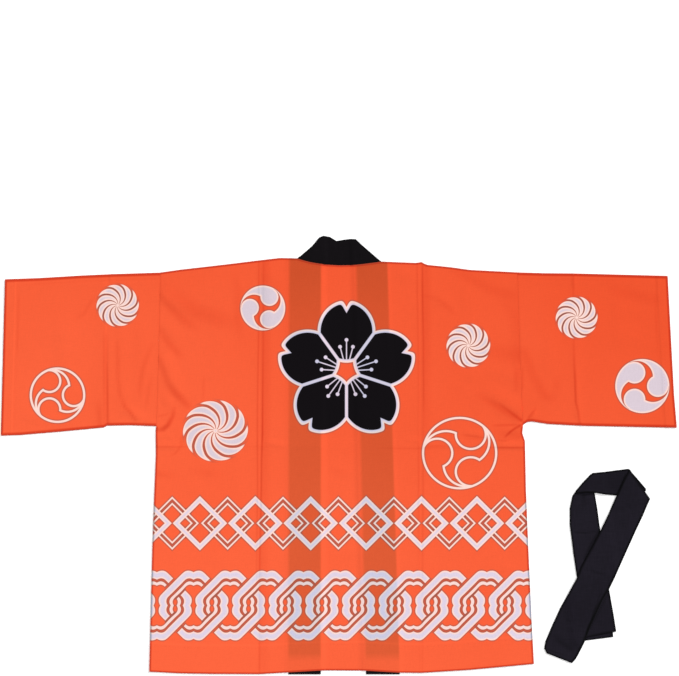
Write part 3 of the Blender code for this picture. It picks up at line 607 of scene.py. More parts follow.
def make_cloth(name, shells, finishes, choice=None, shade_of=None):
    """One piece from its shells, its faces' finishes chosen by choice(x, y, side, row).

    The last argument, of x and y, says how dark the painted shade of creases, edges and seams
    makes each point, from 0 to 1. It is one for all shells, or a tuple of one for each.
    """
    points = np.concatenate([part[0] for part in shells]) * MM
    offsets = np.cumsum([0] + [len(part[0]) for part in shells])
    faces = np.concatenate([part[1] + offset for part, offset in zip(shells, offsets)])
    places = np.concatenate([part[2] for part in shells])
    mesh = bpy.data.meshes.new(name)
    mesh.from_pydata(points.tolist(), [], faces.tolist())
    layer = mesh.uv_layers.new(name="OFBake")
    layer.data.foreach_set("uv", places.reshape(-1).astype(np.float32))
    for finish in finishes:
        mesh.materials.append(finish)
    if choice:
        sides, rows = (np.concatenate([part[i] for part in shells]) for i in (3, 4))
        x, y, _ = points[faces].mean(axis=1).T / MM
        mesh.polygons.foreach_set("material_index", choice(x, y, sides, rows).astype(np.int32))
    if shade_of:
        each = shade_of if isinstance(shade_of, tuple) else (shade_of,) * len(shells)
        values = np.concatenate([tone(*part[0][:, :2].T) for tone, part in zip(each, shells)])
        painted_shade = mesh.attributes.new(SHADE_ATTRIBUTE, "FLOAT", "POINT")
        painted_shade.data.foreach_set("value", values.astype(np.float32))
    mesh.shade_smooth()
    mesh.set_sharp_from_angle(angle=SHARP_ANGLE)
    mesh.update()
    return added(name, mesh)


def turned(main, turned_over, outwards, reach):
    """Points round a fold, from a main edge to the turned one below it."""
    return [
        mix(main, turned_over, (1 - cos(angle)) / 2) + outwards * (reach * sin(angle))
        for angle in np.linspace(0.0, pi, FOLD_STEPS + 2)[1:-1]
    ]


# ---- panels: the back and the fronts ----

PANEL_STEP = 5.4
FRONT_STEPS = (7.0, 8.0)
FINE_ROW = 1.4
UNDERARM_ROWS = np.arange(22.0, 102.0, 2.4)
NEAR_HEM = (4.0, 48.0, 50.5, 51.5, 52.5, 53.5, 54.5, 56.0, 57.5, 60.0)
HEM_TURN = 51.0
HEM_TURN_ROWS = (0.0, 2.0, HEM_TURN - 1.0, HEM_TURN)
HEM_TURN_STEP = 9.0
FOLD_REACH = 1.2
FOLD_WALL = 0.55
PANEL_WALL = 0.9
LEAST_HEIGHT = 0.03
EDGE_OFFSETS = (0.5, 1.3, 2.2, 3.2, 4.4)
SINK_OFFSETS = (SINK_MARGIN, 6.0, SINK_MARGIN + SINK_RUN)
UNDERARM_COLUMNS = tuple(np.arange(5.4, 44.0, 2.5))
FIRST_GUESS = (-400.0, 350.0)  # of the hem's and the shoulders' y
GAP_PLACES = np.array([-400.0, 0.0, 340.0])  # y where the gap between columns is measured
# The unwrapped cloth: v of the panels' main part and of their turned hem, u of their outer face
# and of their inner one
MAIN_V, TURN_V = (0.13, 1.0), (0.035, 0.12)
BACK_SPLIT, FRONT_SPLIT = (0.82, 0.83), (0.72, 0.74)
LEFT_FOLD_MARKS = (-157.0, -154.6, -153.6, -152.6, -151.7, -150.8, -149.8, -148.6, -147.2, -145.8,
                   -144.6, -143.4, -142.3, -141.4, -140.3, -138.8, -136.0)
RIGHT_FOLD_MARKS = (143.5, 145.7, 146.8, 147.8, 148.6, 149.3, 150.2, 151.4, 152.8, 154.2, 155.4,
                    156.6, 157.6, 158.4, 159.3, 160.4, 161.6, 163.4, 166.0)
LEFT_FRONT_MARKS = (-322.0, -153.0, -151.0, -149.6, -148.2, -146.8, -145.4, -143.0)
RIGHT_FRONT_MARKS = (150.0, 152.0, 153.6, 155.0, 156.4, 158.0, 160.0, 325.0)
# Painted shade: its share along the armholes and on the sides above the underarms, where that
# starts and fades, its share on the fronts, then its run, middle, half width and fade at the neck
# seam
ARMHOLE_TONE = 0.05
UNDERARM_LEVEL = 55.0
UNDERARM_FADE = 4.0
FRONT_TONE = 0.8
NECK_TONE_RUN = 5.0
NECK_CENTRE = 0.4
NECK_HALF = 79.0
NECK_FADE = 6.0
HEM_WALL = 0.55
BACK_HEM_HEIGHT = 1.6
FRONT_HEM_WALL = 0.4
FRONT_HEM_HEIGHT = 0.93


def blend(first, second, share):
    return lambda y: mix(first(y), second(y), share)


def line(table, by=0.0):
    return lambda y: x_at(table, y) + by


def upright(x):
    return lambda y: np.full(np.shape(y), float(x))


def column_gap(first, second):
    return np.abs(second(GAP_PLACES) - first(GAP_PLACES)).max()


def place(columns, levels, bottom, top):
    """x and y grids for columns (x from y) and levels (shares of the way from bottom to top)."""
    levels = np.array(levels)
    xs, ys = [], []
    for column in columns:
        y = mix(*FIRST_GUESS, levels)
        for _ in range(4):
            x = column(y)
            y = mix(y_at(bottom, x), y_at(top, x), levels)
        xs.append(x)
        ys.append(y)
    return np.array(xs), np.array(ys)


def side_distance(x, y, sides):
    return np.minimum(np.abs(x - x_at(sides[0], y)), np.abs(x - x_at(sides[1], y)))


def edge_sink(away):
    """How far the outer face sinks at a sewn edge."""
    return EDGE_DROP * np.clip(1 - away / EDGE_DROP_RUN, 0.0, 1.0) ** 2


def panel_sink(x, y, sides):
    return edge_sink(np.minimum(side_distance(x, y, sides), np.abs(y_at(SHOULDERS, x) - y)))


def body_levels(step):
    """Shares of the way up from the hem, close at its turned edge, cross fold and underarms."""
    levels = [CROSS_CREASE_LEVEL + FINE_ROW / BODY_LENGTH * i for i in range(-9, 11)]
    levels += [(HALF_HEIGHT + height) / BODY_LENGTH for height in UNDERARM_ROWS]
    levels += [height / BODY_LENGTH for height in (FOLD_REACH, *NEAR_HEM)]
    levels += [1 - offset / BODY_LENGTH for offset in (0.0, *EDGE_OFFSETS)]
    return filled(sorted(levels), step / BODY_LENGTH)


over_fronts = lying_on(
    [
        (front_outline(LEFT_SIDE, LEFT_BAND_SEAM), CLOTH),
        (front_outline(RIGHT_SIDE, RIGHT_BAND_SEAM), CLOTH),
        ([*LEFT_BAND_FREE, *LEFT_BAND_SEAM[::-1]], COLLAR_THICK),
        ([*RIGHT_BAND_FREE, *RIGHT_BAND_SEAM[::-1]], COLLAR_THICK),
    ],
    SINK_MARGIN, SINK_RUN,
)


def back_height(x, y):
    z = over_fronts(x, y) + soft_folds(x, y)
    z += HEM_RISE * smooth((y_at(HEM, x) + HEM_DEPTH - y) / HEM_STEP)
    z += creased(x, y, BACK_CREASES)
    return z + CLOTH - panel_sink(x, y, (LEFT_SIDE, RIGHT_SIDE))


def build_panel(name, anchors, steps, bottom, height, facing, hem, split, finishes, boxes, shade_of):
    """A panel: down from its top edge, round the hem and up its turn.

    steps are between columns and rows, facing is 1 with the outer face up and -1 with it down, hem
    is the wall and the height of the turn, and split is where the unwrapped sides meet.
    """
    columns = filled(anchors, steps[0], column_gap, blend)
    x, y = place(columns, body_levels(steps[1])[::-1], bottom, SHOULDERS)
    outer_z = height(x, y)
    into_hem = smooth((y_at(bottom, x) + HEM_DEPTH - y) / HEM_STEP)
    inner_z = outer_z - facing * mix(PANEL_WALL, hem[0], into_hem)
    if facing > 0:
        inner_z = np.maximum(inner_z, LEAST_HEIGHT)
    else:
        inner_z = np.minimum(inner_z, PANEL_WALL)
    rows = [[*np.stack([x, y, z], axis=2).swapaxes(0, 1)] for z in (outer_z, inner_z)]
    turns = [], []
    for up in filled(HEM_TURN_ROWS, HEM_TURN_STEP):
        row_y = y[:, -1] + up
        row_x = np.array([float(column(value)) for column, value in zip(columns, row_y)])
        low = height(row_x, row_y) - facing * hem[1]
        turns[0].append(np.stack([row_x, row_y, low], axis=1))
        turns[1].append(np.stack([row_x, row_y, low + facing * hem[0]], axis=1))
    main_rows = x.shape[1]
    down = np.array([0.0, -1.0, 0.0])
    for main, turn, reach in zip(rows, turns, (FOLD_REACH, FOLD_REACH - FOLD_WALL)):
        main += turned(main[-1], turn[0], down, reach) + turn
    last = len(rows[0]) - 1
    patches = [
        [(first, end, (left, v[0], right, v[1]), share)
         for first, end, v, share in ((0, main_rows, MAIN_V, by_number),
                                      (main_rows, last, TURN_V, EVEN_SHARE))]
        for left, right, by_number in ((0.0, split[0], UV_INDEX_SHARE), (split[1], 1.0, EVEN_SHARE))
    ]
    part = shell(*(np.stack(side, axis=1) for side in rows), False, patches)

    def choice(x, y, sides, rows):
        result = chosen(x, y, boxes, 0)
        result[(sides == 1) | (rows >= main_rows)] = len(boxes) + 1
        result[sides == 2] = 0
        return result

    return make_cloth(name, [part], finishes, choice, shade_of)


def end_distance(x, y, bottom):
    return np.minimum(np.abs(y_at(SHOULDERS, x) - y), np.abs(y - y_at(bottom, x)))


def build_back(finishes, boxes):
    near_side = (0.0, *EDGE_OFFSETS, *UNDERARM_COLUMNS)
    anchors = [line(LEFT_SIDE, by) for by in near_side] + [upright(x) for x in LEFT_FOLD_MARKS]
    for first, second in ((LEFT_BAND_SEAM, LEFT_BAND_FREE), (RIGHT_BAND_FREE, RIGHT_BAND_SEAM)):
        anchors += [line(first, -by) for by in SINK_OFFSETS[::-1]]
        anchors += [line(second, by) for by in SINK_OFFSETS]
    anchors += [upright(x) for x in RIGHT_FOLD_MARKS]
    anchors += [line(RIGHT_SIDE, -by) for by in near_side[::-1]]

    # Painted shade along the sides, the shoulders, the hem, the neck seam and the creases
    def shade_of(x, y):
        free = mix(ARMHOLE_TONE, 1.0, smooth((UNDERARM_LEVEL - y) / UNDERARM_FADE))
        side = edge_shade(side_distance(x, y, (LEFT_SIDE, RIGHT_SIDE))) * free
        edge = np.maximum(side, edge_shade(end_distance(x, y, HEM)))
        at_neck = smooth(1 - (y_at(SHOULDERS, x) - y) / NECK_TONE_RUN)
        at_neck *= smooth((NECK_HALF - np.abs(x - NECK_CENTRE)) / NECK_FADE)
        return np.clip(np.maximum(edge, at_neck) + painted_crease_shade(x, y, BACK_LINES), 0.0, 1.0)

    return build_panel("coat_back", anchors, (PANEL_STEP, PANEL_STEP), HEM, back_height, 1.0,
                       (HEM_WALL, BACK_HEM_HEIGHT), BACK_SPLIT, finishes, boxes, shade_of)


def build_front(name, left, upright_marks, right, finishes, boxes):
    """A front with its outer face down, from its left edge to its right one."""
    hem = [(x, y + FRONT_HEM_INSET) for x, y in HEM]
    near = (0.0, *EDGE_OFFSETS)
    anchors = [line(left, by) for by in near] + [upright(x) for x in upright_marks]
    anchors += [line(right, -by) for by in near[::-1]]

    def height(x, y):
        return lifted(x, y, FRONT_CREASES) + panel_sink(x, y, (left, right))

    # Painted shade along the edges and the creases
    def shade_of(x, y):
        edge = np.minimum(side_distance(x, y, (left, right)), end_distance(x, y, hem))
        return np.clip(FRONT_TONE * edge_shade(edge) + painted_crease_shade(x, y, FRONT_LINES), 0.0, 1.0)

    return build_panel(name, anchors, FRONT_STEPS, hem, height, -1.0,
                       (FRONT_HEM_WALL, FRONT_HEM_HEIGHT), FRONT_SPLIT, finishes, boxes, shade_of)


# ---- tubes: sleeves, collar and belt ----

MOST_ROUNDED = 0.3  # of a tube's width, at each edge
MOST_INSET = 0.12
ARMHOLE_GAP = 0.12
ARMHOLE_DEPTH = 285.0
SLEEVE_ROUNDING = 1.3
SLEEVE_INSET = 1.0
LINING_ROUNDING = 1.0
LINING_INSET = 0.9
SLEEVE_WALL = 0.85
CUFF_WALL = 0.42
CUFF_TURN = 18.0
CUFF_TURN_ROWS = (0.0, 1.5, 7.0, 12.5, CUFF_TURN - 0.8, CUFF_TURN)
CUFF_INSET = 2.2
CUFF_FOLD_WALL = 0.5
CUFF_EDGE = 0.6  # how much less painted shade a cuff's edge gets, as a distance
CUFF_SLACK = (0.06, 0.1)  # between the turned ring and the sleeve, below and above
SLEEVE_STEP = 4.2
SLEEVE_ENDS = (338.0, 629.0)
CUFF_STEP_ROWS = (-0.4, 0.0, 0.35, 0.7, 1.0, 1.5)  # in shares of the hem's step
SLEEVE_EDGE_ROWS = (0.0, 0.35, 0.8, 1.3, 2.4)
FINE_COLUMN = 1.1
# x from and to which columns are close at each sleeve's crease
LEFT_FINE_COLUMNS = (427.0, 446.0)
RIGHT_FINE_COLUMNS = (436.0, 451.0)
# Rectangles of the unwrapped cloth: a tube's under layer, its upper one and its inner side
SLEEVE_PATCHES = ((0.0, 0.04, 0.97, 0.37), (0.0, 0.385, 0.97, 0.87), (0.0, 0.885, 0.97, 0.995))
SLEEVE_SHARES = (UV_INDEX_SHARE, UV_INDEX_SHARE, 0.4)  # by number, for the same three
BAND_PATCHES = ((0.0, 0.04, 0.99, 0.42), (0.0, 0.44, 0.99, 0.82), (0.0, 0.84, 0.99, 0.99))
LOW_TAPE_PATCHES = ((0.0, 0.04, 0.99, 0.26), (0.0, 0.27, 0.99, 0.40), (0.0, 0.41, 0.99, 0.48))
HIGH_TAPE_PATCHES = ((0.0, 0.50, 0.99, 0.63), (0.0, 0.64, 0.99, 0.90), (0.0, 0.91, 0.99, 0.985))
# The rectangles of a rim
LOW_RIM, HIGH_RIM = (0.0, 0.0, 0.49, 0.026), (0.51, 0.0, 1.0, 0.026)
TAPE_COLUMNS = (0.0, 0.25, 0.6, 1.1, 1.7, 2.4)  # in from either edge
FULL_INSET_WIDTH = 40.0
FULL_COLUMNS_WIDTH = 12.0
TAPE_INSET = 0.5
BAND_TOP = 345.0
BAND_STEP = 6.0
NECK_STEP = 2.2
LOW_BELT_STEP = 4.5
HIGH_BELT_STEP = 3.2
# Even columns across the middle of the collar and of the belt
BAND_COUNT = 16
NECK_COUNT = 18
LOW_BELT_COUNT = 12
HIGH_BELT_COUNT = 22
NO_INSETS = (0.0, 0.0)
COLLAR_WALL = 0.55
TAPE_WALL = 0.2
TAPE_THICK = 0.96
TAPE_EDGE_RUN = 3.0
BELT_EDGE = (1.4, 0.95)  # where its painted edge shade is full, and its depth
# The same for the painted shade at the collar's edges
NECK_EDGE = (1.0, 0.7)


def ring_grids(x, y, low, high, wall, reach, inset):
    """Rings of a flattened tube, along its under layer and back over its upper one."""
    steps = np.hypot(np.diff(x, axis=1), np.diff(y, axis=1))
    so_far = np.concatenate([np.zeros((len(x), 1)), np.cumsum(steps, axis=1)], axis=1)
    total = so_far[:, -1:]
    reach = np.minimum(reach, MOST_ROUNDED * total)
    away = np.minimum(np.minimum(so_far, total - so_far), reach) / reach
    full = np.sqrt(np.clip(1 - (1 - away) ** 2, 0.0, 1.0))
    middle = 0.5 * (low + high)
    inward = 2 * np.minimum(inset, MOST_INSET * total) / total
    inner = (mix(at, 0.5 * (at[:, :1] + at[:, -1:]), inward) for at in (x, y))
    grids = []
    for at_x, at_y, lower, upper in ((x, y, low, high), (*inner, low + wall, high - wall)):
        under = np.stack([at_x, at_y, mix(middle, lower, full)], axis=2)
        over = np.stack([at_x, at_y, mix(middle, upper, full)], axis=2)
        grids.append(np.concatenate([under, over[:, -2:0:-1]], axis=1))
    return grids


def tube_patches(half, whole, patches, shares):
    """The patches of a tube's shell: its under and upper layers, then its whole inner side."""
    under, over, inner = zip(patches, shares)
    return ((0, half, *under), (half, whole, *over)), ((0, whole, *inner),)


def build_sleeve(name, armhole, cuff, underarm, top, outwards, creases, lines, finishes, boxes):
    """A flattened tube from the armhole to the cuff, its hem turned in.

    boxes are its upper face's motifs and then its lower one's.
    """
    length = HALF_SPAN - SHOULDER_END
    hem, end = CUFF_HEM_DEPTH / length, 1 - FOLD_REACH / length
    marks = [1 - hem + CUFF_HEM_STEP / length * s for s in CUFF_STEP_ROWS]
    marks += [0.0, end, *(offset / length for offset in EDGE_OFFSETS)]
    fine = LEFT_FINE_COLUMNS if outwards < 0 else RIGHT_FINE_COLUMNS
    first, last = SLEEVE_ENDS
    marks += [(x - first) / (last - first) for x in np.arange(*fine, FINE_COLUMN)]
    shares = [s for s in filled(sorted(marks), SLEEVE_STEP / length) if s <= end + 1e-9]
    near = [offset / ARMHOLE_DEPTH for offset in SLEEVE_EDGE_ROWS]
    levels = filled([*near, *(1 - n for n in near[::-1])], SLEEVE_STEP / ARMHOLE_DEPTH)

    def from_cuff(x, y):
        return np.abs(x - x_at(cuff, y))

    def upper(x, y):
        z = 2 * CLOTH + SEAM_GAP + soft_folds(x, y)
        z += CUFF_HEM_RISE * smooth((CUFF_HEM_DEPTH - from_cuff(x, y)) / CUFF_HEM_STEP)
        z += creased(x, y, creases)
        return z - edge_sink(np.abs(x - x_at(armhole, y)))

    def heights(shares_out):
        columns = [blend(line(armhole), line(cuff), share) for share in shares_out]
        x, y = place(columns, levels, underarm, top)
        return x, y, lifted(x, y, LOW_SLEEVE_CREASES), upper(x, y)

    x, y, low, high = heights(shares)
    into_hem = smooth((CUFF_HEM_DEPTH - from_cuff(x, y)) / CUFF_HEM_STEP)
    wall = mix(SLEEVE_WALL, CUFF_WALL, into_hem)
    rings = ring_grids(x, y, low, high, wall, SLEEVE_ROUNDING, SLEEVE_INSET)
    turn_shares = [shares[-1] - back / length for back in CUFF_TURN_ROWS]
    turn_x, turn_y, turn_low, turn_high = heights(turn_shares)
    span = np.abs(turn_y[:, -1:] - turn_y[:, :1])
    turn_y = mix(turn_y, 0.5 * (turn_y[:, :1] + turn_y[:, -1:]), 2 * CUFF_INSET / span)
    # the turned ring's outer face looks into the sleeve
    lining = ring_grids(
        turn_x, turn_y, turn_low + CUFF_WALL + CUFF_SLACK[0], turn_high - CUFF_WALL - CUFF_SLACK[1],
        CUFF_WALL, LINING_ROUNDING, LINING_INSET,
    )[::-1]
    away = np.array([outwards, 0.0, 0.0])
    reaches = (FOLD_REACH, FOLD_REACH - CUFF_FOLD_WALL)
    outer, inner = (
        np.concatenate([ring, turned(ring[-1], turn[0], away, reach), turn])
        for ring, turn, reach in zip(rings, lining, reaches)
    )
    half, whole = len(levels) - 1, outer.shape[1]
    patches = tube_patches(half, whole, SLEEVE_PATCHES, SLEEVE_SHARES)
    is_low = np.zeros((2, *outer.shape[:2]), bool)
    is_low[:, :, 1:half] = True

    def choice(x, y, sides, rows):
        result = chosen(x, y, boxes[0], 0)
        result[rows < half] = chosen(x, y, boxes[1], len(boxes[0]) + 1)[rows < half]
        result[sides == 1] = len(finishes) - 1
        result[sides == 2] = 0
        return result

    # Painted shade along the edges, the armhole and the creases
    def shade_of(x, y):
        edge = np.minimum(np.abs(y_at(top, x) - y), np.abs(y - y_at(underarm, x)))
        shade = edge_shade(np.minimum(edge, from_cuff(x, y) + CUFF_EDGE))
        shade += ARMHOLE_TONE * edge_shade(np.abs(x - x_at(armhole, y)))
        shade += np.where(is_low.ravel(), painted_crease_shade(x, y, LOW_SLEEVE_LINES), painted_crease_shade(x, y, lines))
        return np.clip(shade, 0.0, 1.0)

    part = shell(outer, inner, True, patches)
    return make_cloth(name, [part], finishes, choice, shade_of), x, y, high


def closer(stations, step):
    def length(first, second):
        return max(run_length(first[:2], second[:2]), run_length(first[2:], second[2:]))

    def part_way(first, second, share):
        return tuple(mix(a, b, share) for a, b in zip(first, second))

    return filled(stations, step, length, part_way)


def inset_stations(stations, insets):
    """Stations moved in from either edge, less where the tape is narrow."""
    table = np.array(stations)
    first, second = table[:, :2], table[:, 2:]
    width = np.linalg.norm(second - first, axis=1, keepdims=True)
    across, limit = (second - first) / width, np.minimum(1.0, width / FULL_INSET_WIDTH)
    return np.hstack([first + across * insets[0] * limit, second - across * insets[1] * limit])


def tape(stations, under, low, high, wall, insets, count, patches, rim_rect, top_creases=()):
    """A flattened tube of cloth through its stations, between two heights above under."""
    table = inset_stations(stations, insets)
    width = np.linalg.norm(table[:, 2:] - table[:, :2], axis=1, keepdims=True)
    offsets = np.array([TAPE_COLUMNS]) * np.minimum(1.0, width / FULL_COLUMNS_WIDTH)
    even = np.linspace(0.0, 1.0, count)[None, 1:-1]
    middle = mix(offsets[:, -1:], width - offsets[:, -1:], even)
    places = np.concatenate([offsets, middle, width - offsets[:, ::-1]], axis=1) / width
    x, y = (mix(table[:, i:i + 1], table[:, i + 2:i + 3], places) for i in (0, 1))
    base = under(x, y)
    upper = base + high + creased(x, y, top_creases)
    outer, inner = ring_grids(x, y, base + low, upper, wall, 0.5 * (high - low), TAPE_INSET)
    half, whole = places.shape[1] - 1, outer.shape[1]
    sides = tube_patches(half, whole, patches, (TAPE_SHARE,) * 3)
    return shell(outer, inner, True, sides, rim_rect)


def on_surface(x, y):
    return np.zeros(np.shape(x))


def tape_shade(stations, insets, edge, lines=()):
    """How dark the painted shade makes a tape: along its outline, and along the given lines."""
    full, tone = edge
    outline = stations_outline([tuple(row) for row in inset_stations(stations, insets)])

    def shade_of(x, y):
        away = outline_distance(x, y, outline)[0]
        shade = tone * smooth(full - away / TAPE_EDGE_RUN) + painted_crease_shade(x, y, lines)
        return np.clip(shade, 0.0, 1.0)

    return shade_of


def build_collar(finish):
    pieces, outlines = [], []
    for name, first, second, end in (
        ("collar_band_left", LEFT_BAND_SEAM, LEFT_BAND_FREE, LEFT_BAND_END),
        ("collar_band_right", RIGHT_BAND_FREE, RIGHT_BAND_SEAM, RIGHT_BAND_END),
    ):
        stations = [(float(x_at(first, y)), y, float(x_at(second, y)), y)
                    for y in filled([-HALF_HEIGHT, BAND_TOP], BAND_STEP)] + end
        outlines.append((stations_outline([stations[0], *end]), COLLAR_THICK))
        part = tape(closer(stations, BAND_STEP), on_surface, 0.0, COLLAR_THICK, COLLAR_WALL,
                    NO_INSETS, BAND_COUNT, BAND_PATCHES, WHOLE_RIM)
        pieces.append(make_cloth(name, [part], [finish]))
    over = lying_on(outlines, COLLAR_SINK_MARGIN, SINK_RUN)
    part = tape(closer(COLLAR_BACK, NECK_STEP), over, 0.0, COLLAR_THICK, COLLAR_WALL, NO_INSETS,
                NECK_COUNT, BAND_PATCHES, WHOLE_RIM, COLLAR_CREASES)
    shade_of = tape_shade(COLLAR_BACK, NO_INSETS, NECK_EDGE)
    return [*pieces, make_cloth("collar_neck", [part], [finish], None, shade_of)]


def build_belt(finish):
    layers = [(stations_outline(BELT_UNDER), BELT_THICK), (stations_outline(BELT_TOP), BELT_THICK)]
    on_under = lying_on(layers[:1], BELT_MARGIN, BELT_SINK_RUN)
    on_both = lying_on(layers, BELT_MARGIN, BELT_SINK_RUN)
    low_under = [*BELT_UNDER_LOW_END, *BELT_UNDER[1:]]
    pieces = []
    for name, low_table, high_table, low_insets, high_insets, under in (
        ("belt_lower_stretch", low_under, BELT_UNDER, (1.5, 3.0), NO_INSETS, on_surface),
        ("belt_turn", BELT_TOP, BELT_TOP, (1.5, 0.5), NO_INSETS, on_under),
        ("belt_upper_stretch", BELT_OVER, BELT_OVER, (1.5, 0.0), (0.0, 1.2), on_both),
    ):
        low = tape(closer(low_table, LOW_BELT_STEP), under, 0.0, TAPE_THICK, TAPE_WALL,
                   low_insets, LOW_BELT_COUNT, LOW_TAPE_PATCHES, LOW_RIM)
        high = tape(closer(high_table, HIGH_BELT_STEP), under, BELT_THICK - TAPE_THICK, BELT_THICK,
                    TAPE_WALL, high_insets, HIGH_BELT_COUNT, HIGH_TAPE_PATCHES, HIGH_RIM,
                    BELT_CREASES)
        lines = BELT_LINES + TURN_SHADE if name == "belt_turn" else BELT_LINES
        shade_of = (tape_shade(low_table, low_insets, BELT_EDGE),
                tape_shade(high_table, high_insets, BELT_EDGE, lines))
        pieces.append(make_cloth(name, [low, high], [finish], None, shade_of))
    return pieces


# ---- shader maths ----

PRINT_EDGE = 0.9  # mm over which a printed edge fades


class Wire:
    """A socket whose operators add Math nodes."""

    def __init__(self, tree, socket=None):
        self.tree = tree
        self.socket = socket

    def node(self, kind, settings, sockets, output=0):
        """Adds any node: its settings are set first, then its sockets' values or links."""
        made = self.tree.nodes.new(kind)
        for name, value in settings.items():
            setattr(made, name, value)
        for key, value in sockets.items():
            if isinstance(value, Wire):
                self.tree.links.new(value.socket, made.inputs[key])
            else:
                made.inputs[key].default_value = value
        return Wire(self.tree, made.outputs[output])

    def math(self, operation, *values, clamp=False):
        settings = {"operation": operation, "use_clamp": clamp}
        return self.node("ShaderNodeMath", settings, dict(enumerate((self, *values))))

    def __add__(self, other):
        return self.math("ADD", other)

    __radd__ = __add__

    def __sub__(self, other):
        return self.math("SUBTRACT", other)

    def __rsub__(self, other):
        return self.math("MULTIPLY_ADD", -1.0, other)

    def __mul__(self, other):
        return self.math("MULTIPLY", other)

    __rmul__ = __mul__

    def __truediv__(self, other):
        return self.math("DIVIDE", other)

    def __abs__(self):
        return self.math("ABSOLUTE")


def inside(distance, edge=PRINT_EDGE):
    """1 where a distance is under 0."""
    return distance.math("MULTIPLY_ADD", -1.0 / edge, 0.5, clamp=True)


def raised(share, low):
    """A share that runs from low to 1 in place of 0 to 1."""
    return share * (1 - low) + low


def greater(first, second):
    return first.math("MAXIMUM", second)


def lesser(first, second):
    return first.math("MINIMUM", second)


def length_of(across, up):
    return (across * across + up * up).math("SQRT")


def stroke(distance, low, high):
    """How far a point lies outside the band between two distances."""
    return abs(distance - 0.5 * (low + high)) - 0.5 * (high - low)


def tinted(wire, first, second, factor, blend_type="MIX"):
    """A colour mixed from two."""
    settings = {"data_type": "RGBA", "blend_type": blend_type}
    return wire.node("ShaderNodeMix", settings, {6: first, 7: second, 0: factor}, 2)


def dimmed(wire, colour, shade, share):
    """A colour of which this share is multiplied by a shade."""
    return tinted(wire, colour, tinted(wire, colour, shade, 1.0, "MULTIPLY"), share)


# ---- the print ----

# Chain band
CHAIN_MIDDLE = -280.7
CHAIN_PITCH = 68.55
CHAIN_START = -271.6
LINK_HALF = 64.5
LINK_SLANT = 57.2
SLANT_SHARE = 0.886
LINK_NOTCH = 2.3
NOTCH_HALF = 7.5
LINK_LOBE = 0.8
LOBE_PLACE = 12.0
LOBE_HALF = 11.0
LINK_ROUNDING = 9.0
THICK_LINK = (-13.9, 0.0)
THIN_LINK = (-25.2, -19.6)
CUT_OUTSIDE = 6.4
CUT_INSIDE = -30.1

# Diamond band
DIAMOND_MIDDLE = -126.8
DIAMOND_PITCH = 103.6
DIAMOND_START = -259.7
THICK_DIAMOND = (37.8, 50.9)
THIN_DIAMONDS = ((45.7, 49.7), (34.4, 38.4))
DIAGONAL = 0.7071

# Roundels: x, y, half width, half height, and a turn in degrees
PINWHEELS = (
    (-413.5, 280.5, 39.8, 39.8, 0.0),
    (242.2, 205.3, 41.1, 41.1, 0.0),
    (444.7, 257.7, 39.3, 39.3, 0.0),
    (-230.6, 46.0, 61.0, 57.6, 0.0),
)
SOLID_COMMAS = ((-142.1, 275.6, 41.9, 41.9, 59.0), (567.5, 129.6, 50.5, 50.5, 0.0))
OUTLINE_COMMAS = ((-526.0, 112.6, 49.9, 49.9, 0.0), (225.9, 4.3, 68.4, 65.8, 60.0))
BLADES = 10
BLADE_TURN = 7.0
BLADE_SWEEP = 77.0
# Shares of a pinwheel's radius
GAP_HUB = 0.004
GAP_RIM = 0.043
GAP_OPENS = 0.65
SWEEP_GROWS = 0.8
RIM_SWEEP = 3.4
HUB = 0.07
RIM_START = 0.965
RIM_GROWTH = 0.065
TIP_ROUNDING = 0.12
RING_START = 0.97
# The places and sizes of the circles at a comma's head and tail, as shares of its radius
SOLID_CIRCLES = ((0.575, 0.40), (0.393, 0.59))
OUTLINE_CIRCLES = ((0.61, 0.41), (0.37, 0.625))
COMMA_LINE = 4.1
BLOSSOM_RADIUS = 126.0
BLOSSOM = (14.4, 158.0, BLOSSOM_RADIUS, BLOSSOM_RADIUS, 0.0)
BLOSSOM_OUTLINE = 5.6
# Shares of the blossom's radius
PETAL_PLACE = 0.585
PETAL_SIZE = 0.385
NOTCH_PLACE = 0.86
STAMENS = ((0.0, 0.46), (15.0, 0.37))  # tilt in degrees, length
STAMEN_HUB = 0.09
ANTHER = 0.027
# A petal's stretch along its length, as a square, then the slope and the rounding of its notch
PETAL_STRETCH = 0.86
NOTCH_RUN, NOTCH_RISE = 0.5, 0.87
PETAL_ROUNDING = 8.0
STAMEN_HALF = 1.0

RIM_REACH = 1.9
RIM_FADE = 2.4
RIM_DEPTH = 0.62
RIM_MOST = 0.76
GAP_REACH = 4.0
GAP_FADE = 4.0
CHAIN_GAP = 0.5
DIAMOND_GAP = 0.3
PINWHEEL_GAP = 0.46
PINWHEEL_GAP_END = 0.9
PINWHEEL_GAP_FADE = 5.0
RING_SHADE = 0.45
RING_FADE = 3.0
LARGE_PINWHEEL = 55.0
LARGE_GAP_MOST = 0.62
SMALL_GAP_MOST = 0.84


def rim_shade(fields, between=0.0):
    """Dye gathers round printed strokes, most of all between near ones."""
    rims, gaps = ([inside(field - reach, fade) for field in fields]
                  for reach, fade in ((RIM_REACH, RIM_FADE), (GAP_REACH, GAP_FADE)))
    shade = sum(rims[1:], rims[0]) * RIM_DEPTH
    if between:
        shade = shade + greater(sum(gaps[1:], gaps[0]) - 1.0, 0.0) * between
    return lesser(shade, RIM_MOST)


def printed(fields, between=0.0):
    """A print's distance outside its nearest stroke, the shade round it, and no black."""
    nearest_edge = fields[0]
    for field in fields[1:]:
        nearest_edge = lesser(nearest_edge, field)
    return nearest_edge, rim_shade(fields, between), None


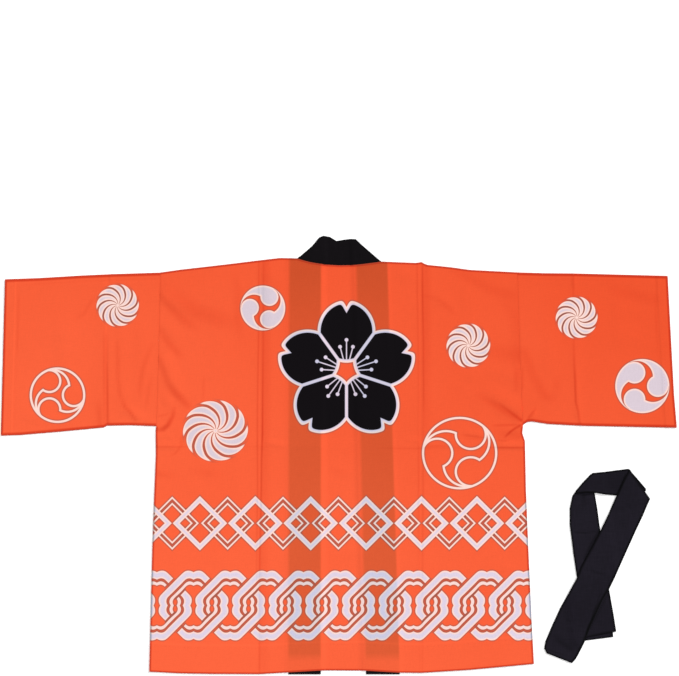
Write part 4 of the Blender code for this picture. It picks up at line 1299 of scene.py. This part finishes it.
def link_distance(along_x, along_y):
    """How far a point lies outside a link of the chain, from its distances to the link's middle."""
    side = along_x - LINK_HALF
    end = along_y - LINK_HALF
    slant = (along_x + along_y) * (DIAGONAL / SLANT_SHARE) - LINK_SLANT / SLANT_SHARE
    distance = side.math("SMOOTH_MAX", slant, LINK_ROUNDING).math("SMOOTH_MAX", end, LINK_ROUNDING)
    from_axis = lesser(along_x, along_y)
    notch = greater(1 - from_axis * (1 / NOTCH_HALF), 0.0)
    lobe = greater(1 - abs(from_axis - LOBE_PLACE) * (1 / LOBE_HALF), 0.0)
    return distance + notch * notch * LINK_NOTCH - lobe * lobe * (3 - 2 * lobe) * LINK_LOBE


def chain_print(x, y, _):
    """Linked octagons: above the middle each passes over the one on its left, below it under."""
    up = y - CHAIN_MIDDLE
    step = (x - CHAIN_START).math("FLOORED_MODULO", CHAIN_PITCH)
    over_x = step + up.math("GREATER_THAN", 0.0) * (CHAIN_PITCH - 2 * step)
    height = abs(up)
    over, under = (link_distance(along_x, height) for along_x in (over_x, CHAIN_PITCH - over_x))
    hidden = lesser(CUT_OUTSIDE - over, over - CUT_INSIDE)
    strokes = [stroke(over, *size) for size in (THICK_LINK, THIN_LINK)]
    strokes += [greater(stroke(under, *size), hidden) for size in (THICK_LINK, THIN_LINK)]
    return printed(strokes, CHAIN_GAP)


def diamond_print(x, y, _):
    height = abs(y - DIAMOND_MIDDLE)
    away = (x - DIAMOND_START).math("PINGPONG", 0.5 * DIAMOND_PITCH)
    reach = height - away + 0.5 * DIAMOND_PITCH
    strokes = [stroke(away + height, *THICK_DIAMOND)]
    strokes += [stroke(reach, *size) for size in THIN_DIAMONDS]
    return printed([distance * DIAGONAL for distance in strokes], DIAMOND_GAP)


def polar(x, y, roundel):
    """Distance from a roundel's middle, and the angle there."""
    centre_x, centre_y, half_width, half_height, _ = roundel
    right = x - centre_x
    up = (y - centre_y) * (half_width / half_height)
    return length_of(right, up), up.math("ARCTAN2", right)


def pinwheel_print(x, y, roundel):
    """Curved blades round a middle, each a little longer at its leading tip."""
    radius = roundel[2]
    distance, angle = polar(x, y, roundel)
    blade = 2 * pi / BLADES
    reach = distance * (1 / radius)
    beyond = greater(reach - SWEEP_GROWS, 0.0)
    twist = reach * radians(BLADE_SWEEP) + radians(BLADE_TURN) + beyond * beyond * RIM_SWEEP
    part = (angle - twist).math("FLOORED_MODULO", blade)
    slope = reach * (beyond * (2 * RIM_SWEEP) + radians(BLADE_SWEEP))
    to_gap = distance / (slope * slope + 1).math("SQRT")
    opening = lesser(distance * (1 / (GAP_OPENS * radius)), 1.0)
    half_gap = opening * ((GAP_RIM - GAP_HUB) * radius) + GAP_HUB * radius
    half_gap = half_gap - greater(HUB * radius - distance, 0.0)
    rim = distance - (part * (RIM_GROWTH * radius / blade) + RIM_START * radius)
    from_gap = lesser(part, blade - part) * to_gap
    rounded = rim.math("SMOOTH_MAX", half_gap - from_gap, TIP_ROUNDING * radius)
    gaps = inside(distance - PINWHEEL_GAP_END * radius, PINWHEEL_GAP_FADE) * PINWHEEL_GAP
    ring = raised(inside(distance - RING_START * radius, RING_FADE), RING_SHADE)
    rims = rim_shade([rounded]) * ring + gaps
    most = LARGE_GAP_MOST if radius > LARGE_PINWHEEL else SMALL_GAP_MOST
    return lesser(rounded, greater(rim, half_gap + from_gap)), lesser(rims, most), None


def comma_distance(x, y, roundel, head, tail):
    """How far a point lies outside three commas turning in a circle."""
    radius = roundel[2]
    distance, angle = polar(x, y, roundel)
    third = 2 * pi / 3
    angle = (angle - radians(roundel[4])).math("FLOORED_MODULO", third)
    right = distance * angle.math("COSINE")
    up = distance * angle.math("SINE")

    def from_circle(turn, circle):
        place_x, place_y = (circle[0] * radius * part(turn) for part in (cos, sin))
        return length_of(right - place_x, up - place_y) - circle[1] * radius

    heads = lesser(from_circle(0.0, head), from_circle(third, head))
    return greater(distance - radius, lesser(heads, from_circle(third, tail) * -1.0))


def solid_comma_print(x, y, roundel):
    return printed([comma_distance(x, y, roundel, *SOLID_CIRCLES)])


def outline_comma_print(x, y, roundel):
    distance = comma_distance(x, y, roundel, *OUTLINE_CIRCLES)
    return printed([abs(distance) - 0.5 * COMMA_LINE])


def blossom_print(x, y, _):
    """A black five-petalled blossom with stamens left open, and a pale outline round it."""
    radius = BLOSSOM_RADIUS
    distance, angle = polar(x, y, BLOSSOM)
    half_petal = pi / 5
    turn = (angle - pi / 2).math("PINGPONG", half_petal)
    out = distance * turn.math("COSINE")
    aside = distance * turn.math("SINE")
    from_middle = out - PETAL_PLACE * radius
    petal = (from_middle * from_middle * PETAL_STRETCH + aside * aside).math("SQRT")
    petal = petal - PETAL_SIZE * radius
    gap = 0.5 * BLOSSOM_OUTLINE - (out * sin(half_petal) - aside * cos(half_petal))
    notch = (out - NOTCH_PLACE * radius) * NOTCH_RUN - aside * NOTCH_RISE
    petals = greater(petal.math("SMOOTH_MAX", notch, PETAL_ROUNDING), gap)
    stamens = []
    for tilt, reach in STAMENS:
        right, up = reach * radius * cos(radians(tilt)), reach * radius * sin(radians(tilt))
        from_line = abs(out * sin(radians(tilt)) - aside * cos(radians(tilt))) - STAMEN_HALF
        beyond = greater(distance - reach * radius, STAMEN_HUB * radius - distance)
        stem = greater(from_line, beyond)
        stamens.append(lesser(stem, length_of(out - right, aside - up) - ANTHER * radius))
    dark = inside(petals) * (1 - inside(greater(lesser(*stamens), petals)))
    edge = petals - BLOSSOM_OUTLINE
    return edge, rim_shade([edge]), dark


# ---- finishes ----


def linear(red, green, blue):
    """A screen colour as linear light."""
    return (*((c / 255 / 12.92) if c < 11 else ((c / 255 + 0.055) / 1.055) ** 2.4
              for c in (red, green, blue)), 1.0)


ORANGE_LIGHT = linear(242, 96, 58)
ORANGE_DEEP = linear(228, 79, 42)
PRINT_WHITE = linear(214, 201, 218)
ROUNDEL_WHITE = linear(210, 195, 205)
PRINT_EDGE_WHITE = linear(246, 211, 200)
WHITE_EDGE = 2.6
PRINT_RIM = linear(122, 80, 72)
BLACK_PRINT = linear(9, 5, 9)
INSIDE_TINT = linear(236, 108, 76)
# Painted shade along creases, folded edges and seams: a tint for the print, a deeper orange with
# its gain and its most, and a brown beyond that for the edges
PRINT_SHADE_TINT = (0.30, 0.42, 0.45, 1.0)
CREASE_SHADE = (0.63, 0.10, 0.0, 1.0)
CREASE_TINT = 1.5
CREASE_MOST = 0.45
EDGE_BROWN = linear(164, 80, 58)
SHOW_THROUGH = (0.69, 0.79, 0.69, 1.0)
WHITE_SHOW_THROUGH = (0.76, 0.89, 0.95, 1.0)
BLACK_COLLAR = linear(10, 7, 10)
BLACK_BELT = linear(22, 19, 27)
LINT = linear(88, 84, 90)
PURE_BLACK = (0.0, 0.0, 0.0, 1.0)
ORANGE_THREAD = linear(236, 88, 50)
DARK_THREAD = linear(46, 16, 12)
# The orange is deeper towards the upper right and paler towards the lower left
FADE_ACROSS = -0.0005
FADE_DOWN = -0.00085
FADE_MIDDLE = 0.62
WEAVE_PITCH = 1.2
NOISE_MIDDLE = 0.5
# Slub noise: its scales along and across the threads, and upwards
COTTON_SLUBS = (60.0, 900.0)
BLACK_SLUBS = (50.0, 800.0)
SLUB_UPWARDS = 60.0
# How much of the weave and of each slub shows in the relief
COTTON_RELIEF = (0.5, 0.5)
BLACK_RELIEF = (0.5, 0.6)
BROAD_SCALE, BROAD_DETAIL = 3.2, 3.0
BROAD_DEPTH = 0.7
MOTTLE_SCALE = 420.0
THREAD_DEPTH = 0.10
INSIDE_SHARE = 0.7
# Roughness: its middle, and how far it spreads
COTTON_ROUGHNESS, COTTON_SPREAD = 0.86, 0.12
BLACK_ROUGHNESS, BLACK_SPREAD = 0.82, 0.15
THREAD_ROUGHNESS, THREAD_SPREAD = 0.7, 0.2
COTTON_BUMP = 0.35
BLACK_BUMP = 0.4
PRINT_SMOOTHING = 0.1
PRINT_RISE = 0.25
BLACK_BROAD_SCALE = 9.0
BLACK_START, BLACK_GAIN = 1.2, 0.9
BLACK_PALE = 1.9
# Painted shade at the tapes' edges and overlaps, towards black
BLACK_EDGE_SHADE = 0.9
LINT_SCALE, LINT_DETAIL, LINT_GRAIN = 380.0, 3.0, 0.6
LINT_START, LINT_GAIN = 0.72, 3.0
LINT_MOST = 0.5
# Thread: scale of its tone and of its twist, its darkest tone, and the twist's depth in metres
THREAD_TONE_SCALE, TWIST_SCALE = 900.0, 2600.0
THREAD_DARKEST = 0.6
TWIST_BUMP, TWIST_DEPTH = 0.3, 0.0001
COTTON_SHEEN, THREAD_SHEEN = 0.04, 0.1
SHEEN_ROUGHNESS = 0.5
CLOTH_SPECULAR, THREAD_SPECULAR = 0.06, 0.2
# Where the bands' shade fades, and how softly: at the hem, near the neck and at its sides
SHADE_END, SHADE_END_FADE = -377.0, 16.0
HEM_SHADE = 0.25
MAIN_SHADE = 0.8
NECK_SHADE, NECK_SHADE_FADE = 290.0, 90.0
STRIP_FADES = (6.0, 3.5)
# The collar bands' edges, as they show through the back: x at the hem and at the neck
STRIPS = (((-94.6, -92.4), (-33.7, -33.3)), ((50.9, 31.2), (114.1, 89.2)))


def new_finish(name):
    material = bpy.data.materials.new(name)
    material.use_nodes = True
    start = Wire(material.node_tree)
    spots = start.node("ShaderNodeTexCoord", {}, {}, "Object")
    x, y = (start.node("ShaderNodeSeparateXYZ", {}, {0: spots}, axis) * (1 / MM)
            for axis in (0, 1))
    return material, start, spots, x, y


def noise(start, spots, scale, detail=2.0, stretch=(1.0, 1.0, 1.0), roughness=0.5):
    moved = start.node("ShaderNodeVectorMath", {"operation": "MULTIPLY"}, {0: spots, 1: stretch})
    sockets = {"Vector": moved, "Scale": scale, "Detail": detail, "Roughness": roughness}
    return start.node("ShaderNodeTexNoise", {}, sockets)


def slubs(start, spots, wide, fine):
    """Noise drawn out along the threads, across and down."""
    return (noise(start, spots, 1.0, stretch=(across, down, SLUB_UPWARDS))
            for across, down in ((wide, fine), (fine, wide)))


# The painted shade of creases, edges and seams, as the mesh holds it
def read_painted_shade(start):
    return start.node("ShaderNodeAttribute", {"attribute_name": SHADE_ATTRIBUTE}, {}, "Fac")


def weave(x, y):
    """Height of a plain weave, its threads over and under one another."""
    turn = 2 * pi / WEAVE_PITCH
    return (x * turn).math("SINE") * (y * turn).math("SINE") * 0.5 + 0.5


def relief(x, y, slub_across, slub_down, shares):
    return weave(x, y) * shares[0] + slub_across * shares[1] + slub_down * shares[1]


def bumped(start, height, strength, distance=0.0002):
    sockets = {"Height": height, "Strength": strength, "Distance": distance}
    return start.node("ShaderNodeBump", {}, sockets)


def clamped(wire, gain=1.0):
    return wire.math("MULTIPLY", gain, clamp=True)


def about_zero(noise_share, width):
    """Noise as a value on both sides of 0."""
    return (noise_share - NOISE_MIDDLE) * width


def faded(colour, share):
    """A colour made darker or paler."""
    return (*(min(1.0, part * share) for part in colour[:3]), 1.0)


def set_shader(material, colour, roughness, normal, sheen, specular):
    tree = material.node_tree
    shader = tree.nodes["Principled BSDF"]
    for name, wire in (("Base Color", colour), ("Roughness", roughness), ("Normal", normal)):
        tree.links.new(wire.socket, shader.inputs[name])
    shader.inputs["Sheen Weight"].default_value = sheen
    shader.inputs["Sheen Roughness"].default_value = SHEEN_ROUGHNESS
    shader.inputs["Specular IOR Level"].default_value = specular
    return material


def strip_shade(x, y):
    """1 over the collar bands, which show through the back as darker cloth above its hem."""
    down = (y + HALF_HEIGHT) * (1 / (2 * HALF_HEIGHT))
    strips = []
    for edges in STRIPS:
        low, high = (down * (top - hem) + hem for hem, top in edges)
        strips.append(inside(low - x, STRIP_FADES[0]) * inside(x - high, STRIP_FADES[1]))
    above_hem = raised(inside(SHADE_END - y, SHADE_END_FADE), HEM_SHADE)
    near_neck = raised(inside(NECK_SHADE - y, NECK_SHADE_FADE), MAIN_SHADE)
    return (strips[0] + strips[1]) * above_hem * near_neck


def cotton(name, motif=None, mirrored=False, over_bands=False, roundel=None, inside_face=False):
    """Printed orange cotton: its motif is a function of the place on the cloth in millimetres."""
    material, start, spots, x, y = new_finish(name)
    broad = noise(start, spots, BROAD_SCALE, BROAD_DETAIL)
    slub_across, slub_down = slubs(start, spots, *COTTON_SLUBS)
    mottled = noise(start, spots, MOTTLE_SCALE)
    shade = about_zero(broad, BROAD_DEPTH) + x * FADE_ACROSS + y * FADE_DOWN + FADE_MIDDLE
    colour = tinted(start, ORANGE_DEEP, ORANGE_LIGHT, clamped(shade))
    if inside_face:
        colour = tinted(start, colour, INSIDE_TINT, INSIDE_SHARE)
    if over_bands:
        shown = strip_shade(x, y)
        colour = dimmed(start, colour, SHOW_THROUGH, shown)
    # Painted shade along creases and seams, and brown at folded edges
    painted_shade = read_painted_shade(start)
    colour = dimmed(start, colour, CREASE_SHADE, lesser(painted_shade, CREASE_MOST) * CREASE_TINT)
    colour = tinted(start, colour, EDGE_BROWN, greater(painted_shade - CREASE_MOST, 0.0))
    roughness = COTTON_ROUGHNESS - about_zero(mottled, COTTON_SPREAD)
    height = relief(x, y, slub_across, slub_down, COTTON_RELIEF)
    if motif:
        edge, rims, dark = motif(x * -1.0 if mirrored else x, y, roundel)
        cover = inside(edge)
        colour = tinted(start, colour, PRINT_RIM, rims)
        white = tinted(start, PRINT_EDGE_WHITE, ROUNDEL_WHITE if roundel else PRINT_WHITE,
                       inside(edge + WHITE_EDGE, WHITE_EDGE))
        if over_bands:
            white = dimmed(start, white, WHITE_SHOW_THROUGH, shown)
        # The print takes the same painted shade
        colour = tinted(start, colour, dimmed(start, white, PRINT_SHADE_TINT, painted_shade), cover)
        if dark:
            colour = tinted(start, colour, BLACK_PRINT, dark)
        roughness = roughness - cover * PRINT_SMOOTHING
        height = height + cover * PRINT_RISE
    threads = (slub_across + slub_down + mottled - 3 * NOISE_MIDDLE) * THREAD_DEPTH + 1.0
    grey = start.node("ShaderNodeCombineColor", {}, {0: threads, 1: threads, 2: threads})
    colour = tinted(start, colour, grey, 1.0, "MULTIPLY")
    normal = bumped(start, height, COTTON_BUMP)
    return set_shader(material, colour, roughness, normal, COTTON_SHEEN, CLOTH_SPECULAR)


def black_cotton(name, tone, sheen):
    """Dense black cotton, paler where threads catch the light and lint lies."""
    material, start, spots, x, y = new_finish(name)
    slub_across, slub_down = slubs(start, spots, *BLACK_SLUBS)
    mottled = noise(start, spots, LINT_SCALE, LINT_DETAIL, roughness=LINT_GRAIN)
    share = slub_across + slub_down + noise(start, spots, BLACK_BROAD_SCALE) - BLACK_START
    colour = tinted(start, tone, faded(tone, BLACK_PALE), clamped(share, BLACK_GAIN))
    lint = clamped(mottled - LINT_START, LINT_GAIN)
    colour = tinted(start, colour, LINT, lint * LINT_MOST)
    # Painted shade at the edges and where stretches overlap, towards black
    colour = tinted(start, colour, PURE_BLACK, read_painted_shade(start) * BLACK_EDGE_SHADE)
    roughness = BLACK_ROUGHNESS - about_zero(mottled, BLACK_SPREAD)
    normal = bumped(start, relief(x, y, slub_across, slub_down, BLACK_RELIEF), BLACK_BUMP)
    return set_shader(material, colour, roughness, normal, sheen, CLOTH_SPECULAR)


def thread(name, colour):
    material, start, spots, _, _ = new_finish(name)
    fine = noise(start, spots, THREAD_TONE_SCALE)
    tone = tinted(start, faded(colour, THREAD_DARKEST), colour, fine)
    roughness = THREAD_ROUGHNESS - about_zero(fine, THREAD_SPREAD)
    normal = bumped(start, noise(start, spots, TWIST_SCALE), TWIST_BUMP, TWIST_DEPTH)
    return set_shader(material, tone, roughness, normal, THREAD_SHEEN, THREAD_SPECULAR)


BODY_SIDE = 335.0
BOX_MARGIN = 3.5
BOX_WIDTH = 2000.0
LINK_MARGIN = 1.0
ROUNDEL_MARGIN = 1.05
ROUNDELS = [
    *(("pinwheel", pinwheel_print, roundel) for roundel in PINWHEELS),
    *(("commas", solid_comma_print, roundel) for roundel in SOLID_COMMAS),
    *(("outlined_commas", outline_comma_print, roundel) for roundel in OUTLINE_COMMAS),
]


def finish_set(side, roundels, bands=False):
    """The finishes of one printed face and the box that each motif needs: x0, y0, x1, y1."""
    mirrored, over_bands = side == "front", side == "back"
    finishes, boxes = [cotton(f"{side}_cotton", None, mirrored, over_bands)], []

    def add(name, motif, centre, half, roundel=None):
        finishes.append(cotton(f"{side}_{name}", motif, mirrored, over_bands, roundel))
        low, high = ([at + sign * (size + BOX_MARGIN) for at, size in zip(centre, half)]
                     for sign in (-1, 1))
        boxes.append((*low, *high))

    if bands:
        add("chain_band", chain_print, (0.0, CHAIN_MIDDLE), (BOX_WIDTH, LINK_HALF + LINK_MARGIN))
        add("diamond_band", diamond_print, (0.0, DIAMOND_MIDDLE), (BOX_WIDTH, THICK_DIAMOND[1]))
    if over_bands:
        add("blossom", blossom_print, BLOSSOM, [BLOSSOM_RADIUS + BLOSSOM_OUTLINE] * 2)
    for number, (name, motif, roundel) in enumerate(roundels):
        centre = (-roundel[0] if mirrored else roundel[0], roundel[1])
        add(f"{name}_{number}", motif, centre, [roundel[2] * ROUNDEL_MARGIN] * 2, roundel)
    return finishes, boxes


def chosen(x, y, boxes, first):
    """The finish number of each face: its motif's, or the plain cotton's."""
    result = np.full(len(x), first)
    for number, (x0, y0, x1, y1) in enumerate(boxes, 1):
        result[(x > x0) & (x < x1) & (y > y0) & (y < y1)] = first + number
    return result


# ---- stitches ----

STITCH_SIDES = 5
# Where a stitch's two rings lie along it, and where a row starts, in pitches
STITCH_RINGS = (0.3, 0.7)
ROW_START = 0.4
# How far cuff stitches lie inside the turned hem's edge, and the columns that they fill
CUFF_STITCH_INSET = 1.5
CUFF_COLUMNS = slice(3, -3)
# Length, pitch and radius
HEM_STITCH = (1.3, 7.0, 0.2)
CUFF_STITCH = (1.3, 6.0, 0.2)
NECK_STITCH = (2.9, 2.6, 0.42)


def make_stitches(name, row, length, pitch, radius, finish):
    """Short stitches along a line of points, in one piece: each a bead half sunk in the cloth."""
    points, faces = [], []
    so_far = np.concatenate([[0.0], np.cumsum(np.linalg.norm(np.diff(row, axis=0), axis=1))])
    for start in np.arange(ROW_START * pitch, so_far[-1] - length, pitch):
        ends = [
            np.array([np.interp(at, so_far, row[:, axis]) for axis in range(3)])
            for at in (start, start + length)
        ]
        run = ends[1] - ends[0]
        run /= np.linalg.norm(run)
        aside = np.cross(run, (0.0, 0.0, 1.0))
        aside /= np.linalg.norm(aside)
        up = np.cross(aside, run)
        base = len(points)
        tip = base + 2 * STITCH_SIDES + 1
        turns = [2 * pi * k / STITCH_SIDES for k in range(STITCH_SIDES)]
        rings = [mix(*ends, share) + radius * (aside * cos(turn) + up * sin(turn))
                 for share in STITCH_RINGS for turn in turns]
        points += [ends[0], *rings, ends[1]]
        for k in range(STITCH_SIDES):
            first, after = base + 1 + k, base + 1 + (k + 1) % STITCH_SIDES
            second, beyond = first + STITCH_SIDES, after + STITCH_SIDES
            faces += [(base, after, first), (first, after, beyond, second), (second, beyond, tip)]
    mesh = bpy.data.meshes.new(name)
    mesh.from_pydata((np.array(points) * MM).tolist(), [], faces)
    mesh.materials.append(finish)
    mesh.shade_smooth()
    mesh.update()
    return added(name, mesh)


def cuff_line(grid, cuff):
    """Points on a sleeve's upper face along the edge of its turned hem."""
    x, y, high = grid
    away = np.abs(np.abs(x - x_at(cuff, y)) - (CUFF_TURN - CUFF_STITCH_INSET)).mean(axis=1)
    row = int(np.argmin(away))
    return np.stack([part[row, CUFF_COLUMNS] for part in (x, y, high)], axis=1)


# ---- the pieces ----


def placed(piece, slot, node=None):
    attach(piece, "root")
    if node:
        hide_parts(node)
    return piece


def shifted(table, by):
    return [(x + by, y) for x, y in table]


inside_cotton = cotton("inside_cotton", inside_face=True)
on_body = [item for item in ROUNDELS if abs(item[2][0]) < BODY_SIDE]
on_sleeves = [item for item in ROUNDELS if abs(item[2][0]) > BODY_SIDE]

finishes, boxes = finish_set("back", on_body, True)
coat_back = placed(build_back([*finishes, inside_cotton], boxes), "printed_cotton", "back")

finishes, boxes = finish_set("front", on_body, True)
left_seam, right_seam = shifted(LEFT_BAND_SEAM, -SEAM_GAP), shifted(RIGHT_BAND_SEAM, SEAM_GAP)
coat_front_left, coat_front_right = (
    placed(build_front(f"coat_{node}", *edges, [*finishes, inside_cotton], boxes),
           "printed_cotton", node)
    for node, *edges in (
        ("front_left", LEFT_SIDE, LEFT_FRONT_MARKS, left_seam),
        ("front_right", right_seam, RIGHT_FRONT_MARKS, RIGHT_SIDE),
    )
)

sleeves, cuff_lines = [], []
for side, outwards, body_side, cuff, underarm, top, creases, lines in (
    ("left", -1, LEFT_SIDE, LEFT_CUFF, LEFT_UNDERARM, LEFT_SLEEVE_TOP,
     LEFT_SLEEVE_CREASES, LEFT_SLEEVE_LINES),
    ("right", 1, RIGHT_SIDE, RIGHT_CUFF, RIGHT_UNDERARM, RIGHT_SLEEVE_TOP,
     RIGHT_SLEEVE_CREASES, RIGHT_SLEEVE_LINES),
):
    upper, lower = ([item for item in on_sleeves if item[2][0] * outwards * facing > 0]
                    for facing in (1, -1))
    (finishes, boxes), (low_finishes, low_boxes) = (
        finish_set(f"{side}_sleeve", upper), finish_set("front", lower)
    )
    sleeve, *grid = build_sleeve(
        f"coat_sleeve_{side}", shifted(body_side, outwards * ARMHOLE_GAP), cuff, underarm, top,
        outwards, creases, lines, [*finishes, *low_finishes, inside_cotton], (boxes, low_boxes),
    )
    sleeves.append(placed(sleeve, "printed_cotton", f"sleeve_{side}"))
    cuff_lines.append(cuff_line(grid, cuff))

collar_left, collar_right, collar_neck = (
    placed(piece, "collar_cotton", node)
    for piece, node in zip(build_collar(black_cotton("collar_black_cotton", BLACK_COLLAR, 0.04)),
                           ("collar_front_left", "collar_front_right", "collar_back"))
)
belt_lower, belt_turn, belt_upper = (
    placed(piece, "belt_cotton", node)
    for piece, node in zip(build_belt(black_cotton("belt_black_cotton", BLACK_BELT, 0.05)),
                           ("belt_under", "belt_top", "belt_over"))
)

# Rows of stitches: along the back's turned hem, the neck's seam and the cuffs
orange_thread = thread("orange_thread", ORANGE_THREAD)
hem_x = np.linspace(-348.0, 357.0, 160)
hem_y = y_at(HEM, hem_x) + HEM_TURN - 2.0
hem_line = np.stack([hem_x, hem_y, back_height(hem_x, hem_y)], axis=1)
neck_x = np.linspace(-74.0, 74.0, 60)
neck_y = y_at([row[:2] for row in COLLAR_BACK], neck_x) - 0.1
neck_line = np.stack([neck_x, neck_y, back_height(neck_x, neck_y - 1.0) - 0.3], axis=1)
dark_thread = thread("dark_thread", DARK_THREAD)
hem_stitches, neck_stitches, left_cuff_stitches, right_cuff_stitches = (
    placed(make_stitches(name, row, *sizes, finish), slot)
    for name, row, sizes, finish, slot in (
        ("hem_stitches", hem_line, HEM_STITCH, orange_thread, "printed_cotton"),
        ("neck_seam_stitches", neck_line, NECK_STITCH, dark_thread, "collar_cotton"),
        ("left_cuff_stitches", cuff_lines[0], CUFF_STITCH, orange_thread, "printed_cotton"),
        ("right_cuff_stitches", cuff_lines[1], CUFF_STITCH, orange_thread, "printed_cotton"),
    )
)

# ---- surface, light and camera ----

SURFACE_HALF = 12.0
SURFACE_Z = -0.0003
VIEW_MIDDLE = (1.3, 219.5)
VIEW_WIDTH = 1269.7
CAMERA_HEIGHT = 4500.0
SENSOR = 36.0

surface_mesh = bpy.data.meshes.new("surface")
corners = [(i * SURFACE_HALF, j * SURFACE_HALF, SURFACE_Z)
           for i, j in ((-1, -1), (1, -1), (1, 1), (-1, 1))]
surface_mesh.from_pydata(corners, [], [(0, 1, 2, 3)])
surface = added("surface", surface_mesh)
pale = bpy.data.materials.new("pale_surface")
pale.use_nodes = True
for name, value in (
    ("Base Color", (0.98, 0.98, 0.98, 1.0)), ("Roughness", 0.9), ("Specular IOR Level", 0.1),
    ("Emission Color", (1.0, 1.0, 1.0, 1.0)), ("Emission Strength", 0.2),
):
    pale.node_tree.nodes["Principled BSDF"].inputs[name].default_value = value
surface_mesh.materials.append(pale)


def add_light(name, place_at, size, power, aim):
    data = bpy.data.lights.new(name, "AREA")
    data.shape = "DISK"
    data.size = size
    data.energy = power
    lamp = added(name, data)
    lamp.location = place_at
    direction = Vector(np.subtract(aim, place_at))
    lamp.rotation_euler = direction.to_track_quat("-Z", "Y").to_euler()


add_light("overhead_softbox", (-1.0, -1.1, 4.5), 2.6, 88.0, (-0.1, -0.1, 0.0))
add_light("side_softbox", (10.0, 9.3, 9.6), 7.0, 2650.0, (0.0, 0.0, 0.0))
scene = bpy.context.scene
world = scene.world or bpy.data.worlds.new("studio")
scene.world = world
world.use_nodes = True
world.node_tree.nodes["Background"].inputs["Color"].default_value = (1.0, 1.0, 1.0, 1.0)
world.node_tree.nodes["Background"].inputs["Strength"].default_value = 0.25
scene.view_settings.view_transform = "Standard"

camera_data = bpy.data.cameras.new("camera")
camera_data.sensor_width = SENSOR
camera_data.sensor_fit = "HORIZONTAL"
camera_data.lens = SENSOR * (CAMERA_HEIGHT - 2.0) / VIEW_WIDTH
camera = added("camera", camera_data)
camera.location = (VIEW_MIDDLE[0] * MM, VIEW_MIDDLE[1] * MM, CAMERA_HEIGHT * MM)
scene.camera = camera
